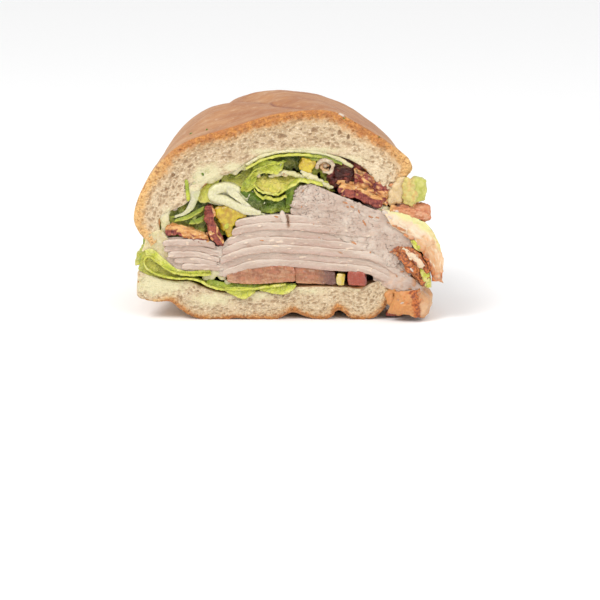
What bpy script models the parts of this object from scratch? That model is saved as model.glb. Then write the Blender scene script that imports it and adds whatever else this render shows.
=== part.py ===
"""Half of a turkey and bacon sandwich on a soft roll, cut across and resting on its base.

The cut face looks towards -Y, X runs across the roll and Z is up. Every piece of the filling is
drawn as a line across the cut face and carried back into the roll, and one function then shapes
the roll and its filling alike, so that neighbours stay clear of each other. Sizes are in
millimetres until the last step, which centres the sandwich on its base and writes metres.
"""

import math

import bmesh
import bpy
from mathutils import Vector, noise
from mathutils.geometry import interpolate_bezier

METRES = 0.001

# The roll, in millimetres.
ROLL_LENGTH = 92.0  # from the cut to the round end
STRAIGHT_LENGTH = 42.0  # from the cut to where the end starts to round off
ROLL_HALF_WIDTH = 51.0
ROLL_CENTRE_X = -5.0
SEAM_HEIGHT = 25.0  # where the two breads meet behind the filling
CROWN_RISE = 52.6  # from the seam to the top of the roll
SOLE_DROP = 26.0  # from the seam down, 1 mm more than the flat base that it is pressed to
SEAM_GAP = 0.4
OPEN_DEPTH = 64.0  # the breads stand apart this far in
CLOSED_DEPTH = 82.0  # and meet from here on
RELAX_DEPTH = 32.0  # from here on the knife hasn't pressed the roll

SLASH_DEPTH = 3.0
SLASH_WIDTH = 5.0
SLASH_FRONT_X = 14.0
SLASH_SLOPE = -0.76  # sideways run for each millimetre of depth

# The turkey, in millimetres.
SLICE_PITCH = 2.7
SIDE_SLICE_PITCH = 2.25
SLICE_GAP = 0.42
DEPTHS = (10.0, 22.0, 34.0, 46.0)  # where slices bend, going into the roll

# Lines across the cut face, as (x, z) in millimetres.
TOP_CRUST = [
    (-49.2, 26.2), (-53.6, 31.0), (-56.0, 37.0), (-53.4, 46.5), (-46.6, 57.0), (-37.0, 64.6),
    (-22.0, 69.4), (-4.0, 74.6), (13.0, 75.8), (22.0, 72.3), (34.5, 64.7), (42.6, 58.2),
    (43.6, 54.0), (41.2, 51.0), (40.6, 46.5), (39.6, 43.6),
]
TOP_CRUMB = [
    (39.6, 43.6), (35.2, 46.8), (29.9, 51.0), (25.4, 56.0), (17.0, 59.6), (4.0, 61.4),
    (-5.4, 61.0), (-13.0, 58.8), (-19.0, 54.4), (-26.0, 51.6), (-31.2, 48.8), (-34.4, 44.6),
    (-40.0, 40.6), (-46.6, 38.0), (-46.6, 31.0), (-49.2, 26.2),
]
BOTTOM_CRUST = [
    (-54.4, 17.8), (-55.2, 11.5), (-54.0, 7.6), (-46.8, 6.4), (-42.6, 6.8), (-40.2, 4.0),
    (-35.0, 1.0), (-28.0, -0.8), (-20.0, 0.4), (-8.0, -0.6), (-2.5, 1.0), (0.6, 3.0),
    (4.6, 1.4), (11.0, -0.5), (15.4, 1.2), (17.7, 4.6), (20.2, 1.4), (26.0, -0.6),
    (31.4, 1.2), (35.2, 6.0), (36.6, 11.0),
]
BOTTOM_CRUMB = [
    (36.6, 11.0), (33.4, 13.6), (30.8, 14.6), (28.7, 13.0), (27.2, 11.3), (18.0, 12.0),
    (0.0, 11.8), (-9.0, 10.8), (-18.0, 9.8), (-26.0, 10.2), (-31.0, 11.8), (-34.5, 13.9),
    (-40.0, 14.0), (-47.5, 15.2), (-51.5, 17.0), (-54.4, 17.8),
]

TURKEY_BASE = [
    (-30.0, 12.0), (-24.0, 15.8), (-17.0, 18.4), (-9.0, 19.7), (3.0, 19.4), (12.0, 18.5),
    (20.0, 17.9), (28.0, 17.1), (33.0, 15.0), (38.0, 11.6), (48.0, 4.8),
]
SIDE_TURKEY_BASE = [(-48.0, 17.9), (-40.0, 18.4), (-33.0, 18.9), (-24.0, 18.2)]


def smooth_step(value):
    value = min(max(value, 0.0), 1.0)
    return value * value * (3.0 - 2.0 * value)


def smooth_line(points, count):
    """count points, evenly spaced along a smooth curve through the given ones."""
    knots = [Vector(p) for p in points]
    fine = []
    for i in range(len(knots) - 1):
        before = knots[max(i - 1, 0)]
        after = knots[min(i + 2, len(knots) - 1)]
        handle_out = knots[i] + (knots[i + 1] - before) / 6
        handle_in = knots[i + 1] - (after - knots[i]) / 6
        fine += interpolate_bezier(knots[i], handle_out, handle_in, knots[i + 1], 12)[:-1]
    fine.append(knots[-1])
    reached = [0.0]
    for a, b in zip(fine, fine[1:]):
        reached.append(reached[-1] + (b - a).length)
    line = []
    k = 0
    for i in range(count):
        wanted = reached[-1] * i / (count - 1)
        while k < len(fine) - 2 and reached[k + 1] < wanted:
            k += 1
        span = max(reached[k + 1] - reached[k], 1e-9)
        line.append(fine[k].lerp(fine[k + 1], min(max((wanted - reached[k]) / span, 0.0), 1.0)))
    return line


def height_on(line, x):
    """The height of a line of (x, z) points at x."""
    for a, b in zip(line, line[1:]):
        if x <= b[0]:
            break
    return a[1] + (b[1] - a[1]) * (x - a[0]) / (b[0] - a[0])


def oval(left, right, rise, power, start, end):
    """Part of a squared oval about the roll's axis, between two angles counted from its left."""
    points = []
    for i in range(17):
        angle = math.radians(start + (end - start) * i / 16)
        reach = abs(math.cos(angle)) ** (2 / power)
        x = ROLL_CENTRE_X + (-left if angle < math.pi / 2 else right) * reach
        points.append((x, SEAM_HEIGHT + rise * abs(math.sin(angle)) ** (2 / power)))
    return points


def shape_of_roll(point):
    """Carries a point from the straight block that the pieces are drawn in to the real roll."""
    x, y, z = point
    along = min(max((y - STRAIGHT_LENGTH) / (ROLL_LENGTH - STRAIGHT_LENGTH), 0.0), 1.0)
    side = (1.0 - along**2.3) ** (1 / 2.3)
    crown = (1.0 - along**2.1) ** (1 / 2.1)
    sole = (1.0 - along**3.2) ** (1 / 3.2)
    # A slow wave runs through the filling behind the cut, and dies out towards the crusts.
    wave = smooth_step(y / 14.0) * smooth_step((z - 4.0) / 8.0) * smooth_step((70.0 - z) / 12.0)
    x += 0.7 * wave * math.sin(y / 10.0 + z / 14.0)
    z += 0.8 * wave * math.sin(y / 9.0 + x / 17.0)
    x = ROLL_CENTRE_X + (x - ROLL_CENTRE_X) * side
    z = SEAM_HEIGHT + (z - SEAM_HEIGHT) * (crown if z > SEAM_HEIGHT else sole)
    return Vector((x, y, z))


def material(name, colour, roughness):
    made = bpy.data.materials.get(name) or bpy.data.materials.new(name)
    made.use_nodes = True
    shader = made.node_tree.nodes["Principled BSDF"]
    shader.inputs["Base Color"].default_value = (*colour, 1.0)
    shader.inputs["Roughness"].default_value = roughness
    shader.inputs["Metallic"].default_value = 0.0
    return made


def new_object(name, bm, finish):
    mesh = bpy.data.meshes.new(name)
    bm.to_mesh(mesh)
    bm.free()
    obj = bpy.data.objects.new(name, mesh)
    mesh.materials.append(finish)
    SANDWICH.objects.link(obj)
    return obj


def depth_stations():
    """Depths of the roll's sections, closer together where the end rounds off."""
    straight = [OPEN_DEPTH * i / 8 for i in range(9)]
    turns = 7
    quarter = [math.sin(math.pi / 2 * i / turns) for i in range(1, turns + 1)]
    rounded = [OPEN_DEPTH + (ROLL_LENGTH - 0.15 - OPEN_DEPTH) * s for s in quarter]
    return straight + rounded


def crust_relief(x, y, z, outward):
    """How far the crust stands out at a point: soft lumps, less the baker's slash along the top."""
    lumps = noise.noise(Vector((x / 23.0, y / 23.0, z / 23.0))) * 1.0
    lumps += noise.noise(Vector((x / 8.0, y / 8.0, z / 8.0))) * 0.35
    from_slash = (x - SLASH_FRONT_X - SLASH_SLOPE * y) / SLASH_WIDTH
    slash = SLASH_DEPTH * math.exp(-from_slash * from_slash)
    return lumps * smooth_step(y / 10.0) - slash * max(outward, 0.0) * smooth_step(y / 14.0)


def bread(name, cut_lines, crust_behind, crust_of_whole, lift, finish):
    """A loft from the cut, past the line of crust behind it, to the whole roll's round end."""
    crust, crumb = cut_lines
    n_crust, n_crumb = 38, 21
    seam = [crust_of_whole[-1], crust_of_whole[0]]
    crumb_points = smooth_line(crumb, n_crumb)[1:-1]
    cut = smooth_line(crust, n_crust) + crumb_points
    behind = smooth_line(crust_behind, n_crust) + crumb_points
    whole = smooth_line(crust_of_whole, n_crust) + smooth_line(seam, n_crumb)[1:-1]
    bm = bmesh.new()
    rings = []
    for y in depth_stations():
        relaxed = smooth_step(y / RELAX_DEPTH)
        closing = smooth_step((y - OPEN_DEPTH) / (CLOSED_DEPTH - OPEN_DEPTH))
        ring = []
        for i, (a, b, c) in enumerate(zip(cut, behind, whole)):
            flat = a.lerp(b, relaxed).lerp(c, closing)
            place = shape_of_roll((flat.x, y, flat.y))
            if 0 < i < n_crust - 1:
                away = Vector((flat.x - ROLL_CENTRE_X, 0.0, flat.y - SEAM_HEIGHT)).normalized()
                heel = math.sin(math.pi * i / (n_crust - 1)) ** 0.5
                place += away * crust_relief(flat.x, y, flat.y, away.z) * heel
            place.z = max(place.z + lift * closing, 0.0)
            ring.append(bm.verts.new(place))
        rings.append(ring)
    for near, far in zip(rings, rings[1:]):
        for i in range(len(near)):
            j = (i + 1) % len(near)
            bm.faces.new((near[i], near[j], far[j], far[i]))
    bm.faces.new(rings[0])
    bm.faces.new(reversed(rings[-1]))
    bmesh.ops.recalc_face_normals(bm, faces=bm.faces[:])
    return new_object(name, bm, finish)


def sheet(name, place, thickness, finish, across, along):
    """A grid that place(u, v) lays out in the straight block, thickened and shaped with the roll."""
    bm = bmesh.new()
    bmesh.ops.create_grid(bm, x_segments=across, y_segments=along, size=0.5)
    for vert in bm.verts:
        vert.co = Vector(place(vert.co.x + 0.5, vert.co.y + 0.5))
    # Triangles before the thickness make both sides bend along the same lines.
    bmesh.ops.triangulate(bm, faces=bm.faces[:], quad_method="FIXED")
    obj = new_object(name, bm, finish)
    solidify = obj.modifiers.new("thickness", "SOLIDIFY")
    solidify.thickness = thickness
    solidify.offset = 0.0
    solidify.use_even_offset = True
    return shaped(obj)


def shaped(obj):
    """Applies the object's modifiers and shapes it with the roll."""
    graph = bpy.context.evaluated_depsgraph_get()
    mesh = bpy.data.meshes.new_from_object(obj.evaluated_get(graph))
    mesh.transform(obj.matrix_world)
    obj.modifiers.clear()
    obj.location = (0.0, 0.0, 0.0)
    obj.rotation_euler = (0.0, 0.0, 0.0)
    obj.data = mesh
    for vert in mesh.vertices:
        vert.co = shape_of_roll(vert.co)
    return obj


def stations(first, last, shared):
    """first, then the shared values well inside, then last, so that neighbours bend alike."""
    return [first] + [value for value in shared if first + 1.0 < value < last - 1.0] + [last]


def slab(name, xs, ys, low, high, finish, ragged=0.8):
    """A slice between two lines of (x, z) points, over the given widths and depths."""
    seed = sum(ord(letter) for letter in name)
    across, along = len(xs) - 1, len(ys) - 1
    bm = bmesh.new()
    bmesh.ops.create_grid(bm, x_segments=across, y_segments=along, size=0.5)
    for vert in bm.verts:
        i, j = round((vert.co.x + 0.5) * across), round((vert.co.y + 0.5) * along)
        x, y = xs[i], ys[j]
        if i in (0, across):
            x += ragged * noise.noise(Vector((y / 7.0, seed, i))) * (1.0 if j else 0.4)
        if j in (0, along):
            y += ragged * noise.noise(Vector((x / 6.0, seed, j)))
        vert.co = (x, y, height_on(low, x))
    bmesh.ops.triangulate(bm, faces=bm.faces[:], quad_method="FIXED")
    top = bmesh.ops.extrude_face_region(bm, geom=bm.faces[:])["geom"]
    for vert in (element for element in top if isinstance(element, bmesh.types.BMVert)):
        vert.co.z = height_on(high, vert.co.x)
    bmesh.ops.recalc_face_normals(bm, faces=bm.faces[:])
    return shaped(new_object(name, bm, finish))


def strip(name, path, thickness, front, back, finish, across=9, along=5, ragged=1.2, ripple=0.0):
    """A slice, leaf or rasher: a line across the cut face, carried back from front to back."""
    seed = sum(ord(letter) for letter in name)
    line = smooth_line(path, 6 * across + 1)
    tangents = [(b - a).normalized() for a, b in zip(line, line[1:])]
    length = sum((b - a).length for a, b in zip(line, line[1:]))

    def place(u, v):
        y = front + (back - front) * v
        left = ragged * (0.5 + 0.5 * noise.noise(Vector((y / 9.0, seed, 0.0)))) / length
        right = ragged * (0.5 + 0.5 * noise.noise(Vector((y / 9.0, seed, 5.0)))) / length
        at = (left + (1.0 - left - right) * u) * (len(line) - 1)
        i = min(int(at), len(line) - 2)
        flat = line[i].lerp(line[i + 1], at - i)
        wave = ripple * noise.noise(Vector((flat.x / 4.0, y / 5.0, seed))) * smooth_step(y / 6.0)
        edge = 0.7 * noise.noise(Vector((flat.x / 5.0, seed, 9.0)))
        side = Vector((-tangents[i].y, tangents[i].x)) * wave
        return flat.x + side.x, y + edge, flat.y + side.y

    return sheet(name, place, thickness, finish, across, along)


def turkey(finish):
    """The stack of slices: a short one at the left, and a tall one that slopes off to the right."""
    def lifted(base, by):
        return [(x, z + by) for x, z in base]

    side_base = [(x, height_on(SIDE_TURKEY_BASE, x)) for x in (-48, -43, -38, -33, -24)]
    side_ends = [(-38.6, -27.2), (-41.4, -26.6), (-43.6, -26.8), (-45.0, -28.6), (-45.4, -31.6)]
    for k, (left, right) in enumerate(side_ends):
        xs = stations(left, right, [x for x, _ in side_base])
        ys = stations(0.6 * (k % 2) - 0.6, 56.0, DEPTHS)
        slab(f"turkey_side_{k + 1}", xs, ys, lifted(side_base, k * SIDE_SLICE_PITCH),
             lifted(side_base, (k + 1) * SIDE_SLICE_PITCH - SLICE_GAP), finish)
    curve = smooth_line(TURKEY_BASE, 200)
    base = [(x, height_on(curve, x)) for x in (-30 + 6.5 * i for i in range(13))]
    ends = [
        (-24.2, 37.4), (-25.2, 41.6), (-24.8, 45.0), (-24.0, 43.4), (-22.4, 41.2), (-20.6, 40.2),
        (-19.2, 47.4), (0.4, 45.6), (1.0, 26.4), (2.0, 20.4), (3.4, 15.0),
    ]
    for k, (left, right) in enumerate(ends):
        xs = stations(left, right, [x for x, _ in base])
        ys = stations(0.8 * math.sin(2.1 * k) - 0.4, 61.0, DEPTHS)
        slab(f"turkey_{k + 1:02d}", xs, ys, lifted(base, k * SLICE_PITCH),
             lifted(base, (k + 1) * SLICE_PITCH - SLICE_GAP), finish)


def loose_turkey(finish):
    """The slices that hang out at the right: a browned edge, an outer slice and a folded tail."""
    edge = [(42.8, 22.4), (45.8, 19.6), (48.0, 15.6)]
    strip("turkey_browned_edge", edge, 2.6, -1.0, 44.0, finish, across=3, along=5)
    outer = [(40.2, 34.4), (45.0, 33.4), (48.6, 29.8), (51.2, 24.0), (52.8, 18.2), (53.4, 14.2)]
    strip("turkey_outer", outer, 3.4, -2.6, 46.0, finish, across=7, along=5)
    plan = smooth_line([(38.0, -0.6), (39.8, -2.8), (43.4, -4.2), (46.6, -3.0), (48.6, 1.2),
                        (49.2, 10.0), (48.2, 22.0), (45.8, 34.0)], 60)

    def place(u, v):
        at = min(u * (len(plan) - 1), len(plan) - 1.001)
        spot = plan[int(at)].lerp(plan[int(at) + 1], at - int(at))
        low = 4.6 - 4.2 * smooth_step(u / 0.3) + 5.0 * smooth_step((u - 0.55) / 0.4)
        high = 10.4 + 2.2 * math.sin(math.pi * u)
        lean = 1.2 * math.sin(math.pi * v)
        return spot.x + 0.8 * lean * u, spot.y - lean * (1.0 - u), low + (high - low) * v

    sheet("turkey_tail", place, 2.6, finish, 12, 4)


def bacon(finish):
    rashers = {
        # name: (thickness, front, back, steps across, ragged edge, line across the cut face)
        "bacon_left_flat": (3.9, -0.6, 52.0, 5, 1.2, [(-44.4, 33.9), (-39.2, 33.7), (-31.6, 32.4)]),
        "bacon_left_upright": (3.2, -1.6, 38.0, 5, 0.5, [(-29.5, 41.2), (-27.8, 33.0), (-25.6, 28.8)]),
        "bacon_dark": (4.0, 1.0, 48.0, 4, 0.6, [(15.8, 52.3), (18.8, 53.6), (23.0, 52.6)]),
        "bacon_lining": (1.8, 3.0, 50.0, 4, 0.4, [(25.6, 52.4), (28.3, 49.6), (31.8, 47.0)]),
        "bacon_strip": (4.2, -1.2, 56.0, 6, 0.6, [(17.0, 48.3), (21.6, 46.9), (27.0, 45.0), (33.4, 42.5)]),
        "bacon_tip": (3.2, -2.0, 40.0, 5, 0.8, [(35.4, 40.8), (40.6, 39.6), (50.6, 37.9)]),
    }
    for name, (thickness, front, back, across, ragged, line) in rashers.items():
        strip(name, line, thickness, front, back, finish, across, along=8, ragged=ragged, ripple=0.4)
    turns = [math.radians(20 + 45 * i) for i in range(8)]
    curl = [(12.7 + 1.45 * math.cos(turn), 55.5 + 1.45 * math.sin(turn)) for turn in turns]
    strip("bacon_curl", curl, 1.2, 0.4, 26.0, finish, across=9, along=3, ragged=0.0)


def lettuce(finish):
    leaves = {
        # name: (front, back, line across the cut face)
        "lettuce_lining": (-0.4, 60.0, [(-16.4, 54.2), (-10.4, 57.9), (-3.0, 59.5), (5.0, 59.9),
                                        (15.4, 58.4)]),
        "lettuce_ruffle": (-0.8, 44.0, [(0.8, 57.6), (-10.0, 55.9), (-13.8, 53.2), (-15.2, 50.6)]),
        "lettuce_cup": (-1.6, 46.0, [(-13.6, 48.5), (-10.4, 46.2), (-6.8, 44.9), (-3.2, 45.3),
                                     (1.0, 49.9), (4.5, 51.1), (12.6, 49.6)]),
        "lettuce_cup_under": (-0.8, 42.0, [(-13.3, 46.4), (-10.2, 44.1), (-6.5, 42.9), (-3.0, 43.3),
                                           (-0.6, 45.2)]),
        "lettuce_shade": (2.4, 40.0, [(-8.2, 40.9), (-5.8, 39.9), (-3.4, 41.5), (-0.8, 39.9)]),
        "lettuce_behind_rib": (1.6, 36.0, [(-20.4, 51.0), (-17.0, 53.0)]),
        "lettuce_left": (0.8, 50.0, [(-44.4, 37.2), (-40.0, 37.7), (-36.0, 39.4), (-33.4, 41.8)]),
        "lettuce_left_shade": (3.0, 34.0, [(-37.2, 36.6), (-34.6, 37.5), (-32.6, 36.4)]),
    }
    for name, (front, back, line) in leaves.items():
        strip(name, line, 0.8, front, back, finish, 2 * len(line) - 1, ragged=1.0, ripple=0.25)
    folded = [
        (-27.4, 16.8), (-30.4, 16.5), (-39.5, 16.7), (-44.2, 18.5), (-48.0, 21.4), (-50.8, 24.0),
        (-52.8, 21.8), (-51.4, 18.5), (-47.5, 16.5), (-42.5, 15.2), (-33.8, 15.0), (-30.4, 12.9),
        (-26.0, 11.4), (-18.0, 11.0), (-9.0, 12.0), (-0.6, 13.0),
    ]
    strip("lettuce_folded", folded, 0.8, -1.2, 62.0, finish, across=26, along=6, ragged=1.4)


def romaine_rib(finish):
    fold = [
        (-18.0, 47.0), (-21.5, 48.6), (-25.0, 48.5), (-27.8, 46.9), (-27.2, 44.9), (-23.2, 44.1),
        (-9.6, 40.7),
    ]
    strip("romaine_rib", fold, 2.2, -0.8, 44.0, finish, across=16, ragged=0.8)


def tomato(finish):
    slices = {
        # name: (front, back, underside, top)
        "tomato_left": (-0.6, 46.0, [(-22.6, 14.0), (-15.0, 12.9), (-8.0, 13.4), (0.8, 14.2)],
                        [(-22.6, 15.6), (-17.0, 17.7), (-9.0, 19.2), (0.8, 18.9)]),
        "tomato_right": (0.4, 52.0, [(1.8, 13.4), (9.0, 13.1), (15.8, 12.8)],
                         [(1.8, 18.9), (9.0, 18.2), (15.8, 17.5)]),
        "tomato_end": (-0.8, 34.0, [(20.8, 12.9), (24.0, 12.7), (27.0, 12.7)],
                       [(20.8, 17.2), (24.0, 16.9), (27.0, 16.3)]),
    }
    for name, (front, back, low, high) in slices.items():
        xs = [low[0][0] + (low[-1][0] - low[0][0]) * i / 4 for i in range(5)]
        slab(name, xs, stations(front, back, DEPTHS), low, high, finish)
    slab("tomato_slip", [34.8, 37.0, 39.4], [2.6, 12.0, 24.0], [(34.0, 0.9), (40.0, 0.9)],
         [(34.0, 2.7), (37.0, 3.1), (40.0, 2.4)], finish, ragged=0.3)


def dice(name, centre, size, turn, finish):
    """A knife-cut cube with its edges softened, turned by an angle about Y."""
    bm = bmesh.new()
    bmesh.ops.create_cube(bm, size=1.0)
    bmesh.ops.scale(bm, vec=Vector(size), verts=bm.verts[:])
    bmesh.ops.bevel(bm, geom=bm.edges[:], offset=0.12 * min(size), segments=2, profile=0.5,
                    affect="EDGES")
    obj = new_object(name, bm, finish)
    obj.location = centre
    obj.rotation_euler = (0.0, math.radians(turn), 0.0)
    bpy.context.view_layer.update()
    return shaped(obj)


def peppers(finish):
    bend = [(-16.8, 39.3), (-20.4, 39.6), (-23.2, 38.2), (-24.0, 35.2), (-23.2, 31.8)]
    strip("pepper_strip", bend, 2.7, -0.6, 22.0, finish, across=8, along=3, ragged=0.2)
    dice("pepper_cube", (6.4, 3.2, 56.4), (5.0, 6.4, 4.8), 12.0, finish)
    dice("pickle_cube", (18.2, 2.4, 14.9), (3.2, 6.0, 4.2), 4.0, finish)


def avocado(finish):
    dice("avocado_cube", (45.6, 0.4, 47.6), (6.8, 8.0, 8.6), 4.0, finish)


def centre_on_base(collection):
    """Puts the origin under the middle of the sandwich and turns millimetres into metres."""
    corners = [vert.co for obj in collection.objects for vert in obj.data.vertices]
    low = Vector(min(corner[axis] for corner in corners) for axis in range(3))
    high = Vector(max(corner[axis] for corner in corners) for axis in range(3))
    origin = Vector(((low.x + high.x) / 2, (low.y + high.y) / 2, low.z))
    for obj in collection.objects:
        for vert in obj.data.vertices:
            vert.co = (vert.co - origin) * METRES
        obj.data.shade_smooth()
        obj.data.set_sharp_from_angle(angle=math.radians(50))


for leftover in list(bpy.data.objects):
    bpy.data.objects.remove(leftover)
SANDWICH = bpy.data.collections.new("turkey_bacon_sandwich_half")
bpy.context.scene.collection.children.link(SANDWICH)

roll = material("roll", (0.80, 0.58, 0.34), 0.75)
bread("bread_top", (TOP_CRUST, TOP_CRUMB),
      oval(ROLL_HALF_WIDTH - 1.5, ROLL_HALF_WIDTH + 1.0, CROWN_RISE, 2.2, 0.0, 158.0),
      oval(ROLL_HALF_WIDTH, ROLL_HALF_WIDTH, CROWN_RISE - 1.0, 2.2, 0.0, 180.0), SEAM_GAP, roll)
bread("bread_bottom", (BOTTOM_CRUST, BOTTOM_CRUMB),
      oval(ROLL_HALF_WIDTH - 2.0, ROLL_HALF_WIDTH - 9.0, -SOLE_DROP, 3.2, 7.0, 159.0),
      oval(ROLL_HALF_WIDTH, ROLL_HALF_WIDTH, -SOLE_DROP, 2.8, 0.0, 180.0), 0.0, roll)
turkey(material("turkey", (0.80, 0.66, 0.58), 0.6))
loose_turkey(material("roast_turkey", (0.80, 0.55, 0.36), 0.5))
bacon(material("bacon", (0.42, 0.16, 0.10), 0.4))
lettuce(material("lettuce", (0.45, 0.62, 0.16), 0.45))
romaine_rib(material("romaine_rib", (0.84, 0.87, 0.66), 0.4))
tomato(material("tomato", (0.72, 0.30, 0.22), 0.35))
peppers(material("yellow_pepper", (0.90, 0.72, 0.08), 0.35))
avocado(material("avocado", (0.62, 0.74, 0.30), 0.5))
centre_on_base(SANDWICH)
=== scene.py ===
import math

import bmesh
import bpy
import numpy as np
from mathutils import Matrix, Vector, kdtree, noise


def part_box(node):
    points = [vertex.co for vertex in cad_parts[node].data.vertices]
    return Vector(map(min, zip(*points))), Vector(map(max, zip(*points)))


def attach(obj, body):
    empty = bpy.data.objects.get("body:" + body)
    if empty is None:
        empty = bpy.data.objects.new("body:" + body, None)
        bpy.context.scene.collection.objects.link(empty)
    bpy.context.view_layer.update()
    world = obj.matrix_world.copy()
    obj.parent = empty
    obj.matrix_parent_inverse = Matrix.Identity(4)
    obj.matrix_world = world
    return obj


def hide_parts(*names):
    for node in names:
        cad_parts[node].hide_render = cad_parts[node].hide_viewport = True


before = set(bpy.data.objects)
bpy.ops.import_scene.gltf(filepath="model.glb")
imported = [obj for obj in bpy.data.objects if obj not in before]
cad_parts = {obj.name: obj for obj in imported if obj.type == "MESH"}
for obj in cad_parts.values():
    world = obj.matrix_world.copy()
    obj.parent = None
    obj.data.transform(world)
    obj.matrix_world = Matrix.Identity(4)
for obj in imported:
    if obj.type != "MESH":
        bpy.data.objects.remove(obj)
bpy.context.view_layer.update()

# Sizes are in millimetres, counted from the middle of the roll's seam line at the cut: x across the
# cut, y into the roll and z up. They turn into metres of the frame in one place each way. Where x, y
# and z are taken from points.T they are views of it, so what is added to them moves the points.
mm = 0.001
cutOrigin = np.array((0.313, -42.694, 0.0))
scene = bpy.context.scene


def toFrame(points):
    return (np.asarray(points, float) + cutOrigin) * mm


def toCut(points):
    return np.asarray(points, float) / mm - cutOrigin


# Smoothly from 0 at start to 1 a width further on, which lies below start where the width is negative.
def rise(value, start=0.0, width=1.0):
    share = np.clip((value - start) / width, 0.0, 1.0)
    return share * share * (3.0 - 2.0 * share)


def bell(value, middle, width):  # 1 at the middle, near 0 at twice the width from it
    return np.exp(-((value - middle) / width) ** 2)


def grain(points, size, seed=0, octaves=1):  # smooth noise, about -1 to 1, one value for each point
    spots = (np.asarray(points) / np.asarray(size, float) + seed * 7.31).tolist()
    if octaves == 1:
        return np.array([noise.noise(spot) for spot in spots])
    return np.array([noise.fractal(spot, 0.8, 2.0, octaves) for spot in spots])


def readMesh(mesh):  # its points, and their normals
    found = []
    for name in ("co", "normal"):
        flat = np.empty(len(mesh.vertices) * 3, np.float32)
        mesh.vertices.foreach_get(name, flat)
        found.append(flat.reshape(-1, 3).astype(float))
    return toCut(found[0]), found[1]


def writeMasks(mesh, masks):
    for name, values in masks.items():
        layer = mesh.attributes.get(name) or mesh.attributes.new(name, "FLOAT", "POINT")
        values = np.broadcast_to(np.asarray(values, np.float32), len(mesh.vertices))
        layer.data.foreach_set("value", np.ascontiguousarray(values))


def writeMesh(mesh, points, masks):
    mesh.vertices.foreach_set("co", toFrame(points).astype(np.float32).ravel())
    mesh.update()
    writeMasks(mesh, masks)


def moveTo(verts, points):
    for vert, place in zip(verts, toFrame(points)):
        vert.co = place


def markVerts(bm, masks):  # masks on the points, which walls grown from them take over
    for name, values in masks.items():
        layer = bm.verts.layers.float.new(name)
        for vert, value in zip(bm.verts, values):
            vert[layer] = value


# Shader maths as plain expressions: a Wire is one output of one node.
class Wire:
    def __init__(self, tree, socket):
        self.tree = tree
        self.socket = socket

    def maths(self, operation, first, second):
        return addNode(self.tree, "ShaderNodeMath", {"operation": operation}, {0: first, 1: second})

    def __add__(self, other):
        return self.maths("ADD", self, other)

    def __radd__(self, other):
        return self.maths("ADD", other, self)

    def __sub__(self, other):
        return self.maths("SUBTRACT", self, other)

    def __rsub__(self, other):
        return self.maths("SUBTRACT", other, self)

    def __mul__(self, other):
        return self.maths("MULTIPLY", self, other)

    def __rmul__(self, other):
        return self.maths("MULTIPLY", other, self)


def addNode(tree, kind, settings=None, inputs=None, output=0):
    node = tree.nodes.new(kind)
    for name, value in (settings or {}).items():
        if name == "stops":
            ramp = node.color_ramp
            while len(ramp.elements) < len(value):
                ramp.elements.new(0.5)
            for element, (place, colour) in zip(ramp.elements, value):
                element.position = place
                element.color = (*colour, 1.0)
        else:
            setattr(node, name, value)
    for name, value in (inputs or {}).items():
        if isinstance(value, Wire):
            tree.links.new(value.socket, node.inputs[name])
        else:
            node.inputs[name].default_value = value
    return Wire(tree, node.outputs[output])


class Finish:  # a material, whose body colour is built up in coats
    def __init__(self, name, **constants):
        self.material = bpy.data.materials.new(name)
        self.material.use_nodes = True
        self.tree = self.material.node_tree
        self.shader = self.tree.nodes["Principled BSDF"]
        for socket, value in constants.items():
            self.shader.inputs[socket.replace("_", " ")].default_value = value
        self.place = self.node("ShaderNodeTexCoord", output="Object")
        self.body = None

    def node(self, kind, settings=None, inputs=None, output=0):
        return addNode(self.tree, kind, settings, inputs, output)

    def mask(self, name):
        return self.node("ShaderNodeAttribute", {"attribute_name": name}, output="Fac")

    def stretched(self, size):  # object coordinates counted in steps of size, in millimetres
        steps = tuple(1.0 / (s * mm) for s in np.broadcast_to(size, 3).tolist())
        return self.node("ShaderNodeVectorMath", {"operation": "MULTIPLY"}, {0: self.place, 1: steps})

    def noise(self, size, detail=3.0):
        inputs = {"Vector": self.stretched(size), "Scale": 1.0, "Detail": detail, "Roughness": 0.55}
        return self.node("ShaderNodeTexNoise", {}, inputs)

    def between(self, value, low, high):  # 0 before low, 1 past high, smooth between them, either way round
        settings = {"interpolation_type": "SMOOTHSTEP"}
        inputs = {"Value": value, "From Min": low, "From Max": high}
        return self.node("ShaderNodeMapRange", settings, inputs)

    def mix(self, factor, first, second):
        colours = [c if isinstance(c, Wire) else (*c, 1.0) for c in (first, second)]
        settings = {"data_type": "RGBA", "clamp_factor": True}
        return self.node("ShaderNodeMix", settings, {0: factor, 6: colours[0], 7: colours[1]}, output=2)

    def blend(self, value, low, high, first, second):  # first colour before low, second past high
        return self.mix(self.between(value, low, high), first, second)

    def coat(self, colour, amount, value, low=None, high=None):  # laid on the body where value rises
        share = value if low is None else self.between(value, low, high)
        self.body = self.mix(share * amount, self.body, colour)

    def paint(self, socket, wire):
        self.tree.links.new(wire.socket, self.shader.inputs[socket])

    def done(self, height, depth, roughness=None):  # a relief's depth is in millimetres
        self.paint("Base Color", self.body)
        if roughness:
            self.paint("Roughness", roughness)
        inputs = {"Height": height, "Strength": 1.0, "Distance": depth * mm}
        self.paint("Normal", self.node("ShaderNodeBump", {}, inputs))
        return self


def newPiece(name, mesh, finish, nodes=()):
    piece = bpy.data.objects.new(name, mesh)
    scene.collection.objects.link(piece)
    mesh.materials.clear()
    mesh.materials.append(finish.material)
    mesh.shade_smooth()
    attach(piece, "root")
    if nodes:
        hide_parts(*nodes)
    return piece


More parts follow.
